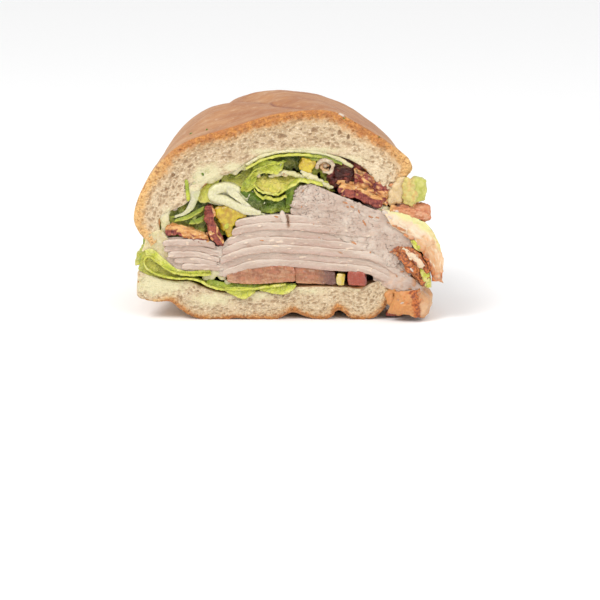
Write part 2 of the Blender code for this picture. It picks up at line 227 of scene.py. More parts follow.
def mergedCopy(node):  # a CAD node's mesh as a bmesh of quads
    bm = bmesh.new()
    bm.from_mesh(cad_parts[node].data)
    bmesh.ops.remove_doubles(bm, verts=bm.verts[:], dist=0.01 * mm)
    bmesh.ops.join_triangles(bm, faces=bm.faces[:], angle_face_threshold=math.radians(50),
                             angle_shape_threshold=math.radians(70))
    return bm


def meshOf(name, bm):
    mesh = bpy.data.meshes.new(name)
    bm.to_mesh(mesh)
    bm.free()
    return mesh


def modified(name, bm, modifiers):  # the mesh after modifiers, each a kind with its settings
    mesh = meshOf(name, bm)
    source = bpy.data.objects.new(name + "_cage", mesh)
    scene.collection.objects.link(source)
    for kind, settings in modifiers:
        modifier = source.modifiers.new(kind, kind)
        for setting, value in settings.items():
            setattr(modifier, setting, value)
    graph = bpy.context.evaluated_depsgraph_get()
    result = bpy.data.meshes.new_from_object(source.evaluated_get(graph))
    bpy.data.objects.remove(source)
    bpy.data.meshes.remove(mesh)
    result.name = name
    return result


def subdivided(name, bm, levels):
    return modified(name, bm, [("SUBSURF", {"levels": levels, "render_levels": levels})])


def sliceAt(bm, axis, places):  # adds edges where planes across an axis cut the surface
    normal = Vector([float(i == axis) for i in range(3)])
    for place in places:
        point = normal * ((place + cutOrigin[axis]) * mm)
        bmesh.ops.bisect_plane(bm, geom=bm.verts[:] + bm.edges[:] + bm.faces[:], dist=0.02 * mm,
                               plane_co=point, plane_no=normal)


def frontFaces(bm, deepest, steepness=0.9):  # the faces that look out of the cut
    limit = (deepest + cutOrigin[1]) * mm
    return [f for f in bm.faces if f.normal.y < -steepness and f.calc_center_median().y < limit]


def crispFront(bm, front, width):  # a narrow border round the cut faces keeps their corners crisp
    bmesh.ops.inset_region(bm, faces=frontFaces(bm, front + 1.5, 0.8), thickness=width * mm,
                           use_even_offset=True)


def openEdges(bm):
    return [e for e in bm.edges if e.is_boundary]


def growWall(bm, outline, inset, depth, counted):  # from the open edges, inwards and back to a depth
    grown = bmesh.ops.extrude_edge_only(bm, edges=openEdges(bm))["geom"]
    verts = [g for g in grown if isinstance(g, bmesh.types.BMVert)]
    flat = toCut([v.co for v in verts])[:, (0, 2)]
    index, away = outline.find(flat)
    inward = np.gradient(outline.curve, axis=0)[:, ::-1] * (-1.0, 1.0)
    inward /= np.linalg.norm(inward, axis=1)[:, None]
    # What already lies inside the outline may count towards the inset.
    moves = np.maximum(inset - away * counted, 0.0)
    flat += inward[index] * moves[:, None]
    moveTo(verts, np.insert(flat, 1, depth, axis=1))


def closeBack(bm):
    back = bmesh.ops.holes_fill(bm, edges=openEdges(bm), sides=0)["faces"]
    bmesh.ops.triangulate(bm, faces=back, quad_method="BEAUTY", ngon_method="EAR_CLIP")


# The crumb: the bread's cut face, full of pores, with a toasted rim along the crust.
crumb = {
    "step": 0.2,           # distance between the points of the face
    "skirtDepth": 4.0,     # how far its sides go back under the crust
    "skirtInset": 0.7,
    "setBack": 0.25,
    "rimRound": 1.7,       # the face rounds off towards the crust over this width
    "rimDrop": 1.1,
    "fillRound": 1.0,      # and towards the filling over this one
    "fillDrop": 0.5,
    "toastWidth": 3.6,
    "poreDepth": 1.05,
}
# The crust's part of a bread's outline runs from one of its crustEnds, as (x, z), to the other.
breads = {
    "top": {"node": "bread_top", "crustEnds": ((39.6, 43.6), (-49.2, 26.2)), "pores": 2600, "seed": 3},
    "bottom": {"node": "bread_bottom", "crustEnds": ((36.6, 11.0), (-54.4, 17.8)), "pores": 2000,
               "seed": 8},
}
# The photograph's frame on the cut: its middle column, its ground row and the size of its pixels.
photo = {"column": 290.0, "row": 320.0, "wide": 0.36, "high": 0.365}
# The large pores and cracks, as pixels of the photograph: (across, down, half length, half width, turn).
largePores = [
    (282, 137.5, 4.6, 2.6, 0), (272.5, 134, 2.4, 0.9, 0), (272.7, 143.8, 3.4, 1.2, 0.1),
    (186.8, 162.5, 2.8, 2, 0.6), (190.5, 167, 2.6, 1.4, 0.6), (208.5, 150, 3.2, 0.9, 0.3),
    (314.2, 131.5, 3.4, 2.4, -0.4), (339.3, 133.8, 2.4, 2.7, 0), (347.7, 138.2, 1.7, 2.8, 0),
    (328, 144.8, 2.4, 1.6, -0.4), (348, 146, 2.3, 1.4, 0), (315.5, 139.5, 2.3, 1.3, -0.2),
    (381.2, 168.5, 3, 0.9, -0.5), (391, 185.5, 3.6, 2.6, 0), (363, 160, 4.2, 0.7, -0.5),
    (174, 176, 2.6, 2, 0.8), (167, 190, 2.2, 1.7, 1), (160.5, 205, 2, 1.5, 1.2), (180, 187, 2, 1.2, 0.8),
    (355, 152, 2.6, 1.2, -0.6), (372, 158, 2.2, 1.2, -0.7), (301, 131, 1.8, 1.1, 0),
    (233, 146, 2.2, 1, 0.3), (246, 140, 1.9, 1.2, 0.2), (218, 311, 8, 0.8, 0.05),
    (312, 300.5, 6, 0.9, 0.1), (323, 304, 5, 0.7, 0.1), (296, 310, 9, 0.7, -0.05),
    (346, 300, 4, 0.8, -0.3), (263, 309, 7, 0.6, 0), (194, 303, 5, 0.8, -0.2), (240, 303, 4, 0.8, 0.1),
    (330, 295.5, 3.6, 0.8, 0),
]
# Where sauce has soaked the crumb: (x, z, half width, half height, strength).
sauceSpots = [
    (-29, 52, 6, 5.5, 1), (-33.5, 46, 4, 4, 0.9), (-20, 55.5, 5, 2.2, 0.8), (-9, 61, 8, 1.6, 0.7),
    (8, 61.5, 12, 1.5, 0.8), (22, 58.5, 6, 2, 0.6), (-43.5, 36.5, 3, 5, 0.8), (-47, 32, 2.2, 5, 0.5),
    (-47, 13, 11, 4.6, 0.95), (-28, 7.5, 9, 3, 0.75), (-12, 9, 8, 2.2, 0.7), (6, 10.5, 9, 1.6, 0.6),
    (22, 11, 6, 1.4, 0.5), (38.5, 47, 2.5, 2.5, 0.5),
]


def fromPhoto(across, down):  # a pixel of the photograph as (x, z) on the cut
    return (across - photo["column"]) * photo["wide"], (photo["row"] - down) * photo["high"]


def smoothLoop(points, parts):  # a closed smooth curve through points
    before, after, later = (np.roll(points, shift, axis=0) for shift in (1, -1, -2))
    rows = []
    for t in np.arange(parts) / parts:
        rows.append(0.5 * (2 * points + (after - before) * t
                           + (2 * before - 5 * points + 4 * after - later) * t ** 2
                           + (3 * points - before - 3 * after + later) * t ** 3))
    return np.stack(rows, axis=1).reshape(-1, 2)


def cutCurve(node):  # the smooth outline of a bread's cut face, in order round it, as (x, z)
    bm = mergedCopy(node)
    face = set(frontFaces(bm, 0.3))
    edges = [e for e in bm.edges if len(face.intersection(e.link_faces)) == 1]
    nextTo = {}
    for edge in edges:
        a, b = edge.verts
        nextTo.setdefault(a, []).append(b)
        nextTo.setdefault(b, []).append(a)
    start = edges[0].verts[0]
    loop, last, here = [start], None, start
    while True:
        step = next(v for v in nextTo[here] if v is not last)
        if step is start:
            break
        loop.append(step)
        last, here = here, step
    x, z = points = toCut([v.co for v in loop])[:, (0, 2)].T
    bm.free()
    turned = np.sum(x * np.roll(z, -1) - z * np.roll(x, -1))
    return smoothLoop(points.T if turned > 0 else points.T[::-1], 12)


def insideLoop(points, loop):
    inside = np.zeros(len(points), bool)
    x, z = points.T
    for (ax, az), (bx, bz) in zip(loop, np.roll(loop, -1, axis=0)):
        if az == bz:
            continue
        crosses = (az > z) != (bz > z)
        inside ^= crosses & (x < ax + (bx - ax) * (z - az) / (bz - az))
    return inside


class Nearest:  # the nearest point of a curve, found quickly
    def __init__(self, curve):
        self.curve = curve
        self.tree = kdtree.KDTree(len(curve))
        for i, (x, z) in enumerate(curve):
            self.tree.insert((x, 0.0, z), i)
        self.tree.balance()

    def find(self, points):
        found = [self.tree.find((x, 0.0, z)) for x, z in points]
        return np.array([f[1] for f in found]), np.array([f[2] for f in found])


def sauceMask(points):
    mask = np.zeros(len(points))
    for x, z, wide, high, strength in sauceSpots:
        spot = np.exp(-((points[:, 0] - x) / wide) ** 2 - ((points[:, 2] - z) / high) ** 2)
        mask = np.maximum(mask, strength * spot)
    return rise(1.6 * mask + 0.35 * grain(points, 1.6, seed=4, octaves=3) - 0.25)


def crumbGrid(outline):  # a fine flat grid inside the outline, its border drawn on to it
    curve = outline.curve
    low, high = curve.min(axis=0) - 1.0, curve.max(axis=0) + 1.0
    count = np.ceil((high - low) / crumb["step"]).astype(int)
    bm = bmesh.new()
    bmesh.ops.create_grid(bm, x_segments=count[0], y_segments=count[1], size=0.5)
    flat = low + (np.array([v.co[:2] for v in bm.verts]) + 0.5) * (high - low)
    outside = ~insideLoop(flat, curve)
    for vert, (x, z) in zip(bm.verts, flat):
        vert.co = (x, 0.0, z)
    bmesh.ops.delete(bm, geom=[v for v, gone in zip(bm.verts[:], outside) if gone], context="VERTS")
    bmesh.ops.delete(bm, geom=[v for v in bm.verts if len(v.link_faces) < 2], context="VERTS")
    bmesh.ops.recalc_face_normals(bm, faces=bm.faces[:])
    if sum(f.normal.y for f in bm.faces) > 0:
        bmesh.ops.reverse_faces(bm, faces=bm.faces[:])
    border = [v for v in bm.verts if v.is_boundary]
    index, _ = outline.find([(v.co.x, v.co.z) for v in border])
    for vert, i in zip(border, index):
        vert.co.x, vert.co.z = curve[i]
    return bm


def poreDepths(flat, sauceFree, bread, crustLine, nearIndex, fromCrust):
    # Pores lie along the crust, larger further in, and sauce fills them.
    rng = np.random.default_rng(bread["seed"])
    depth = np.zeros(len(flat))
    along = np.gradient(crustLine.curve, axis=0)
    along /= np.linalg.norm(along, axis=1)[:, None]
    pores = []
    for k in rng.choice(len(flat), bread["pores"], replace=False):
        inner = rise(fromCrust[k], 0.6, 3.0)
        radius = (0.15 + 0.34 * rng.random() ** 4) * (0.85 + 0.25 * inner)
        tangent = along[nearIndex[k]]
        turn = math.atan2(tangent[1], tangent[0]) + rng.normal(0.0, 0.35)
        pores.append((flat[k], radius * (1.1 + 1.2 * rng.random()), radius, turn, 0.4 + 0.4 * inner))
    for across, down, long, wide, turn in largePores:
        pores.append((fromPhoto(across, down), photo["wide"] * long, photo["wide"] * wide, turn, 1.0))
    for k, (middle, long, wide, turn, strength) in enumerate(pores):
        x, z = (flat - middle).T
        near = np.flatnonzero(np.maximum(np.abs(x), np.abs(z)) < max(long, wide) * 1.3)
        x, z = x[near], z[near]
        u = (x * math.cos(turn) + z * math.sin(turn)) / long
        v = (z * math.cos(turn) - x * math.sin(turn)) / wide
        wobble = 1.0 + 0.25 * np.sin(3.0 * np.arctan2(v, u) + k)
        bowl = np.sqrt(np.clip(1.0 - (u * u + v * v) * wobble, 0.0, 1.0))
        deep = min(crumb["poreDepth"], 1.6 * wide) * strength
        depth[near] = np.maximum(depth[near], deep * bowl)
    return depth * sauceFree


def crumbFace(label, finish):
    bread = breads[label]
    curve = cutCurve(bread["node"])
    ends = [int(np.argmin(np.hypot(*(curve - end).T))) for end in bread["crustEnds"]]
    fromEnd = (np.arange(len(curve)) - ends[0]) % len(curve)
    span = (ends[1] - ends[0]) % len(curve)
    isTop = label == "top"
    onCrust = fromEnd <= span if isTop else fromEnd >= span
    outline, crustLine, fillLine = (Nearest(part) for part in (curve, curve[onCrust], curve[~onCrust]))
    bm = crumbGrid(outline)
    points = np.array([v.co[:] for v in bm.verts])
    x, y, z = points.T
    flat = points[:, (0, 2)]
    nearIndex, fromCrust = crustLine.find(flat)
    _, fromFill = fillLine.find(flat)
    sauce = sauceMask(points)
    depth = poreDepths(flat, 1.0 - 0.8 * sauce, bread, crustLine, nearIndex, fromCrust)

    rough = 0.16 * grain(points, (0.9, 1.0, 0.7), seed=1, octaves=3) * (1.0 - 0.6 * sauce)
    swell = 0.35 * grain(points, 5.0, seed=2) + 0.14 * grain(points, 2.0, seed=5)
    coarse = grain(points, (1.5, 1.0, 1.2), seed=6, octaves=3)
    coarse += 0.7 * grain(points, (0.6, 1.0, 0.5), seed=7)
    rough += 0.75 * coarse * bell(fromCrust, 0.0, 3.2)
    rim = crumb["rimDrop"] * (1.0 - np.clip(fromCrust / crumb["rimRound"], 0.0, 1.0)) ** 2
    fill = crumb["fillDrop"] * (1.0 - np.clip(fromFill / crumb["fillRound"], 0.0, 1.0)) ** 2
    y[:] = crumb["setBack"] + swell + rough + depth + rim + fill
    moveTo(bm.verts, points)

    # The rim is paler at the lower left end, and painted golden at its sides as a highlight where the light
    # catches it. The face is painted lighter low down and at its right end, to lift the shade that falls
    # there.
    paleEnd = rise(x, -46.0, -6.0) * rise(z, 4.0, 4.0)
    crustGap = fromCrust if isTop else 1.5 * fromCrust + 0.9 + 3.0 * paleEnd
    lit = rise(np.maximum(-x, x + 7.0), 38.0, 12.0)
    lower = rise(z, 64.0, -22.0) + 1.2 * bell(x, 27.0, 12.0) * rise(z, 44.0, 8.0)
    markVerts(bm, {"pit": depth, "crustGap": crustGap, "sauce": sauce, "lit": lit, "lower": lower})
    growWall(bm, outline, crumb["skirtInset"], crumb["skirtDepth"], False)
    closeBack(bm)
    return newPiece("crumb_" + label, meshOf("crumb_" + label, bm), finish)


def crumbFinish():
    f = Finish("crumb", Roughness=0.82, Subsurface_Weight=0.1, Subsurface_Scale=0.002,
               Subsurface_Radius=(1.0, 0.7, 0.45))
    speckle = f.noise(0.45, 4)
    grit = f.noise((0.9, 0.9, 0.7))
    f.body = f.blend(f.noise(4.0), 0.35, 0.65, (0.455, 0.32, 0.185), (0.53, 0.395, 0.245))
    f.coat((0.71, 0.58, 0.41), 0.85, grit, 0.48, 0.68)
    f.coat((0.34, 0.21, 0.105), 0.5, speckle, 0.48, 0.32)
    # painted light: the crumb lighter low down and at the right end, where it lies in shade
    f.coat((0.78, 0.66, 0.46), 0.28, f.mask("lower"))
    # painted shade: the pores darker the deeper they are
    poreFloor = f.blend(f.mask("pit"), 0.4, 1.0, (0.42, 0.285, 0.17), (0.33, 0.20, 0.108))
    f.coat(poreFloor, 0.75, f.mask("pit") + 0.15 * (speckle - 0.5), 0.05, 0.55)
    gap = f.mask("crustGap") - 3.6 * (f.noise(9.0, 2) - 0.5)
    ragged = gap + 4.2 * (f.noise(1.5, 4) - 0.5)
    lumpy = f.noise((1.9, 1.9, 1.6))
    specks = f.noise((0.75, 0.75, 0.65))
    golden = f.blend(lumpy + 0.5 * (specks - 0.5), 0.4, 0.58, (0.33, 0.070, 0.008), (0.50, 0.155, 0.018))
    golden = f.mix(f.between(specks + 0.5 * (lumpy - 0.5), 0.52, 0.64) * 0.8, golden, (0.64, 0.27, 0.05))
    # painted highlight: the rim golden at its sides, where the light catches it
    golden = f.mix(f.mask("lit") * 0.76, golden, (0.84, 0.57, 0.24))
    burnt = f.between(f.noise((1.5, 1.5, 1.3)), 0.54, 0.64) * f.between(gap, 3.2, 0.8)
    golden = f.mix(burnt * 0.8, golden, (0.22, 0.05, 0.012))
    f.coat(golden, 0.95, ragged, crumb["toastWidth"] + 0.8, crumb["toastWidth"] - 1.8)
    f.coat((0.56, 0.31, 0.11), 0.35, ragged, crumb["toastWidth"] + 3.0, crumb["toastWidth"] - 0.5)
    f.coat(f.mix(speckle, (0.56, 0.52, 0.27), (0.70, 0.65, 0.42)), 0.75, f.mask("sauce"))
    return f.done(speckle + grit, 0.35, 0.85 - 0.45 * f.mask("sauce"))


# The crust: the roll's outer skin, with fine wrinkles along it and the baker's slash on top.
crust = {
    "rowStep": 2.0,        # between rows of points, from the cut back to the open depth
    "openDepth": 64.0,
    "lipInset": 1.3,       # the lip at the cut turns in by this much
    "lipRound": 0.9,       # how far back its first step lies
    "lipDepth": 4.2,
    "frontTuck": 0.22,
    "slashX": 14.0,        # where the slash meets the cut, and how far it moves across on its way back
    "slashSlope": -0.76,
    "slashDepth": 0.8,
}


def crustPiece(label, finish):
    node = breads[label]["node"]
    bm = mergedCopy(node)
    bmesh.ops.delete(bm, geom=frontFaces(bm, 0.3), context="FACES")
    outline = Nearest(cutCurve(node))
    for depth in (crust["lipRound"], crust["lipDepth"]):
        growWall(bm, outline, crust["lipInset"], depth, True)
    closeBack(bm)
    sliceAt(bm, 1, np.arange(crust["rowStep"], crust["openDepth"], crust["rowStep"]))
    mesh = subdivided("crust_" + label, bm, 2)
    points, normals = readMesh(mesh)
    x, y, z = points.T
    streaks = 0.2 * grain(points, (11.0, 4.6, 10.0), seed=1) + 0.09 * grain(points, (5.5, 2.4, 5.0), seed=2)
    lumps = 0.07 * grain(points, 3.2, seed=3, octaves=3)
    ragged = 0.3 * grain(points, 1.5, seed=4, octaves=2) * bell(y, 0.4, 1.3)
    fromSlash = x - crust["slashX"] - crust["slashSlope"] * y
    crease = bell(fromSlash + 0.9 * grain(points, 6.0, seed=6), 0.0, 1.1) * (z > 55.0)
    crease *= rise(y, 0.0, 5.0) * rise(y, 56.0, -16.0)
    height = (streaks + lumps) * rise(y, 0.2, 2.0) + ragged - crust["slashDepth"] * crease
    tuck = crust["frontTuck"] * (1.0 - rise(y, 0.0, 2.2))
    points += normals * (height - tuck)[:, None]
    y += 0.75 * (1.0 - rise(y, 0.0, 1.6)) * (y > -0.5)
    np.maximum(z, 0.0, out=z)
    writeMesh(mesh, points, {"crease": crease, "height": z, "aside": np.abs(x - 4.0), "depth": y})
    return newPiece("crust_" + label, mesh, finish, [node])


def crustFinish():
    f = Finish("crust", Roughness=0.5, Specular_IOR_Level=0.4)
    broad = f.noise((16.0, 13.0, 13.0))
    streak = f.noise((11.0, 5.0, 9.0), 5)
    thread = f.noise((4.6, 1.9, 4.0), 5)
    fine = f.noise((1.2, 0.8, 1.0), 4)
    brown = f.blend(broad, 0.35, 0.68, (0.345, 0.138, 0.050), (0.42, 0.195, 0.078))
    pale = f.blend(broad, 0.35, 0.68, (0.50, 0.285, 0.125), (0.57, 0.36, 0.175))
    # Brown on top and paler lower down, from the bake; paler towards the sides too, partly its own colour
    # and partly painted sheen where light grazes them.
    height = f.mask("height") + 14.0 * (broad - 0.5) - 0.42 * f.mask("aside")
    f.body = f.blend(height, 12.0, 66.0, pale, brown)
    f.coat((0.30, 0.115, 0.05), 0.32, streak, 0.42, 0.70)
    f.coat((0.62, 0.42, 0.25), 0.24, streak, 0.52, 0.30)
    f.coat((0.34, 0.145, 0.065), 0.2, thread, 0.5, 0.68)
    f.coat((0.64, 0.45, 0.28), 0.2, thread, 0.46, 0.32)
    f.coat((0.68, 0.52, 0.37), 0.26, f.noise((2.6, 1.6, 2.4), 4), 0.56, 0.72)    # flour
    f.coat((0.62, 0.44, 0.28), 0.16, fine, 0.55, 0.8)
    # painted shade: darker along the slash's crease
    f.coat((0.19, 0.075, 0.06), 0.8, f.mask("crease"))
    f.coat((0.44, 0.21, 0.085), 0.6, f.mask("height") + 2.0 * (fine - 0.5), 4.0, 0.6)    # the base
    f.coat((0.42, 0.14, 0.026), 0.85, f.mask("depth") + 1.8 * (fine - 0.5), 2.6, 0.6)    # the toasted lip
    return f.done(f.noise((1.2, 0.5, 1.0), 4) + thread, 0.2, 0.42 + 0.25 * fine)


# Sliced turkey: soft slices with a fibrous cut edge.
turkey = {
    "acrossStep": 1.3,
    "frontRows": (0.35, 0.9, 1.7, 3.2, 6.0),
    "border": 0.22,
    # How far the right end of an upper slice leans back, so that the ends make one slope.
    "slopedEnds": {"turkey_08": 5.0, "turkey_09": 6.0, "turkey_10": 5.6, "turkey_11": 5.4},
    "sideReach": -24.5,    # the short stack's slices run on to the main stack
    "sideFloor": 17.7,     # and draw together there, towards this height
    "sideSink": 0.27,
    "crackX": (-0.4, -1.0),    # the crack down the middle of the stack, at two heights
    "crackZ": (33.6, 38.3),
    "massX": (-1.0, 1.1, 5.4, 10.8, 18.0, 25.2, 34.2, 39.6),    # above this line no slice shows
    "massZ": (46.0, 42.0, 38.3, 34.7, 31.0, 28.1, 21.2, 16.4),
}


def sliceFront(points, front):  # 1 on the cut edge, 0 from 2.5 mm behind it
    return 1.0 - rise(points[:, 1], front + 0.3, 2.2)


def meatMass(points):  # 1 where the slices run together into one grainy mass, 0 where they show
    floor = np.interp(points[:, 0], turkey["massX"], turkey["massZ"])
    return rise(points[:, 2] - floor, -1.2, 3.0) * rise(points[:, 0], 0.5, 2.0)


def meatPits(points, least):
    return np.clip(grain(points, (0.75, 0.8, 0.5), seed=13, octaves=2) - least, 0.0, 1.0)


def turkeySlice(node, finish):
    low, high = (toCut(corner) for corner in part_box(node))
    bm = mergedCopy(node)
    sliceAt(bm, 0, np.arange(low[0] + 1.0, high[0] - 0.6, turkey["acrossStep"]))
    sliceAt(bm, 1, [low[1] + 0.5 + row for row in turkey["frontRows"]])
    crispFront(bm, low[1], turkey["border"])
    mesh = subdivided(node + "_meat", bm, 2)
    points, normals = readMesh(mesh)
    x, y, z = points.T
    front = sliceFront(points, low[1] + 0.5)
    # Upward faces along the cut get painted highlight and downward ones painted shade, through this mask.
    edge = normals[:, 2] * front
    own = float(int(node[-2:].strip("_")))    # the slice's own number

    # Where its ends lie.
    if node in turkey["slopedEnds"]:
        height = (z - low[2]) / (high[2] - low[2])
        x -= turkey["slopedEnds"][node] * height * rise(x, high[0] - 9.0, 9.0)
    if "side" in node:
        z -= turkey["sideSink"] * (z - turkey["sideFloor"]) * rise(x, -37.0, 11.0)
        uneven = turkey["sideReach"] + 0.9 * math.sin(2.2 * own) - high[0]
        x += uneven * rise((x - low[0]) / (high[0] - low[0]) * 2.0, 1.0)
    lengthwise = points * (0, 1, 0)
    reach = 1.5 * grain(lengthwise, (1.0, 7.0, 1.0), seed=18 + own) * rise(y, low[1] + 2.0, 6.0)
    reach -= 2.0 * np.clip(grain(lengthwise, (1.0, 4.0, 1.0), seed=19 + own), 0.0, 1.0)
    x += (reach + 0.6) * rise(x, high[0] - 7.0, 6.0) * rise(y, low[1] + 1.0, 3.0)
    x -= 4.5 * rise(y, 14.0, 40.0) * rise(x, 20.0, 20.0)
    z -= 0.4 * rise(x, low[0] + 1.9, -1.7) * (z - z[x < low[0] + 1.6].mean())
    y += 2.5 * rise(y, high[1] - 5.0, 5.0) * grain(points * (1, 0, 0), 5.0, seed=20 + own)

    # Its soft surface.
    drift = 0.35 * grain(points, (8.0, 30.0, 9.0), seed=16)
    drift += 0.14 * grain(points, (3.0, 12.0, 4.0), seed=17)
    z += drift * rise(z, 13.0, 4.0)
    dense = meatMass(points)
    swell = 0.25 + 0.15 * dense + 0.10 * grain(points, (2.2, 6.0, 1.2), seed=11)
    swell += 0.2 * rise(2.0 * grain(points, (8.0, 20.0, 3.0), seed=10))
    points += normals * (swell * (1.0 - 0.6 * np.abs(normals[:, 1])))[:, None]

    # Its cut edge.
    fibre = 0.16 * grain(points, (1.6, 1.0, 0.5), seed=12, octaves=3)
    pits = meatPits(points, 0.2) * dense
    torn = np.clip(grain(points, (2.2, 1.0, 0.9), seed=14) - 0.42, 0.0, 1.0)
    crack = bell(x, np.interp(z, turkey["crackZ"], turkey["crackX"]), 0.4)
    crack *= rise(z, 33.2, 1.5) * rise(z, 39.6, -1.0)
    y += front * (fibre + 1.2 * pits - 1.3 * torn + 2.4 * crack + 0.25 * math.sin(2.3 * own))
    # Painted light: each slice lighter above its middle line and darker below it, as lit from above.
    level = offsetAcross(points, False) / 1.35 * front * (1.0 - dense)
    browned = rise(x - 2.0 * grain(points, 2.5, seed=15), 43.0, 3.0)
    # the crack is painted half browned, as the shade inside it
    browned = np.maximum(browned, 0.5 * crack)
    writeMesh(mesh, points, {"level": level, "pit": pits * front, "torn": torn * front,
                             "edge": edge * (1.0 - 0.8 * dense), "browned": browned})
    return newPiece(node + "_meat", mesh, finish, [node])


def turkeyFinish():
    f = Finish("turkey", Roughness=0.5, Subsurface_Weight=0.15, Subsurface_Scale=0.0025,
               Subsurface_Radius=(1.0, 0.55, 0.4), Specular_IOR_Level=0.4)
    fibre = f.noise((1.8, 1.0, 0.35), 4)
    speck = f.noise((0.5, 0.5, 0.4))
    f.body = f.blend(f.noise((9.0, 9.0, 4.0)), 0.35, 0.65, (0.43, 0.316, 0.25), (0.495, 0.388, 0.315))
    f.coat((0.60, 0.50, 0.43), 0.45, fibre, 0.5, 0.75)
    f.coat((0.40, 0.26, 0.21), 0.42, fibre, 0.46, 0.28)
    # painted highlight: upward faces at the cut lighter, as lit from above
    f.coat((0.65, 0.56, 0.47), 0.45, f.mask("edge"), 0.25, 0.9)
    # painted light: the upper half of each slice lighter and the lower half darker
    f.coat((0.66, 0.57, 0.48), 0.3, f.mask("level") + 0.5 * (fibre - 0.5), 0.2, 0.9)
    f.coat((0.44, 0.28, 0.235), 0.4, 0.5 * (fibre - 0.5) - f.mask("level"), 0.2, 1.0)
    # painted shade: the undersides of the slices darker
    f.coat((0.50, 0.32, 0.24), 0.4, 0.0 - f.mask("edge"), 0.15, 0.8)
    # painted shade: the pits darker
    f.coat((0.47, 0.29, 0.215), 0.5, f.mask("pit"), 0.06, 0.5)
    f.coat((0.76, 0.62, 0.47), 0.5, f.mask("torn"), 0.02, 0.2)
    spice = f.between(f.noise((2.6, 2.6, 1.4), 2), 0.7, 0.78) * f.between(speck, 0.5, 0.6)
    f.coat((0.55, 0.24, 0.10), 0.6, spice)
    f.coat((0.56, 0.25, 0.09), 0.8, f.mask("browned"))
    return f.done(fibre + 0.5 * speck, 0.2, 0.42 + 0.3 * speck)


def offsetAcross(points, upright):  # distance from the middle line of a strip, on its cut edge
    along, across = (points[:, 2], points[:, 0]) if upright else (points[:, 0], points[:, 2])
    return across - np.polyval(np.polyfit(along, across, 3), along)


# Strips, leaves and slices start as the CAD piece, get rows of points near the cut, and are shaped.
def dressed(node, suffix, finish, levels, shape, rows=(0.4, 1.2, 2.4, 4.5, 8.0), cuts=(),
            crisp=0.0):
    low, high = (toCut(corner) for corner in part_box(node))
    front = low[1]
    bm = mergedCopy(node)
    sliceAt(bm, 1, [front + 0.4 + row for row in rows])
    sliceAt(bm, 0, cuts)
    if crisp:
        crispFront(bm, front, crisp)
    mesh = subdivided(node + suffix, bm, levels)
    points, normals = readMesh(mesh)
    x, y, z = points.T
    masks = shape(points, normals, front)
    # Behind the cut it wanders, and its far end is torn.
    deep = rise(y, front + 5.0, 12.0)
    torn = rise(y, high[1] - 5.0, 4.0)
    seed = len(node) + front
    x -= 6.0 * rise(y, 10.0, 45.0) * rise(x, 30.0, 12.0)
    x += deep * 0.9 * grain(points, (12.0, 8.0, 12.0), seed=seed)
    z += deep * 0.8 * grain(points, (12.0, 7.0, 12.0), seed=seed + 1)
    y += torn * (2.2 * grain(points * (1, 0, 1), 3.0, seed=seed + 2, octaves=2) - 1.0)
    points -= normals * (0.4 * torn)[:, None]
    np.maximum(z, 0.1, out=z)
    writeMesh(mesh, points, masks)
    return newPiece(node + suffix, mesh, finish, [node])


# Slices that hang out at the right: a browned edge, a pale outer slice and a folded tail.
looseTurkey = ("turkey_browned_edge", "turkey_outer", "turkey_tail")


def looseSlice(node, finish):
    def shape(points, normals, front):
        x, y, z = points.T
        near = sliceFront(points, front)
        rough = 0.22 * grain(points, (1.5, 2.5, 1.5), seed=21, octaves=3)
        rough += 0.3 * grain(points, (4.0, 6.0, 4.0), seed=22)
        points += normals * rough[:, None]
        y += near * 0.35 * grain(points, 0.9, seed=23, octaves=2)
        rim = rise(x, x.max() - 5.0, 5.0) * (1.0 - near)
        x -= rim * 2.6 * np.abs(grain(points * (0, 1, 1), (1.0, 5.0, 9.0), seed=25, octaves=2))
        np.maximum(z, 0.15, out=z)
        patchy = grain(points, (2.4, 5.0, 2.4), seed=24, octaves=3)
        if node == "turkey_outer":
            browned = np.maximum(rise(2.5 * patchy - z, -19.5, 4.0), 0.6 * rise(patchy * 2.2, 0.5))
            sauce = rise(z + 2.0 * patchy, 25.0, 4.0) * rise(x, 43.5, 3.0)
            sauce *= 1.0 - rise(y + 3.0 * patchy, -0.5, 5.0)
            return {"browned": browned, "sauce": sauce, "tan": 0.0}
        if node == "turkey_browned_edge":
            return {"browned": 0.75 + 0.4 * patchy, "sauce": 0.0, "tan": 0.0}
        # The tail droops at its lower left, and its right side is rounded.
        droop = rise(x, 42.5, -4.0) * rise(z, 10.0, -5.0) * rise(y, 4.0, -6.0)
        x -= 2.2 * droop
        z[:] = np.maximum(z - 1.6 * droop, 0.15)
        x += 0.8 * bell(z, 6.0, 4.0) * rise(x, 45.5, 3.0)
        fades = 1.0 - 0.6 * rise(y, 3.0, 18.0)
        x -= 2.2 * rise(z, 7.0, 4.5) * rise(x, 45.0, 5.0) * fades
        z += 1.3 * rise(z, 4.0, -4.0) * rise(x, 47.0, 3.5) * fades
        stripe = bell(x + 0.12 * (z - 6.0) + 0.7 * patchy, 45.3, 1.5) * (y < 6.0)
        browned = np.clip(stripe + 0.45 * rise(patchy * 2.0, 0.3), 0.0, 1.0)
        return {"browned": browned, "sauce": 0.2 * rise(x, 46.5, 1.5),
                "tan": 0.3 + 0.7 * rise(x, 47.0, -1.5)}

    return dressed(node, "_roast", finish, 3, shape)


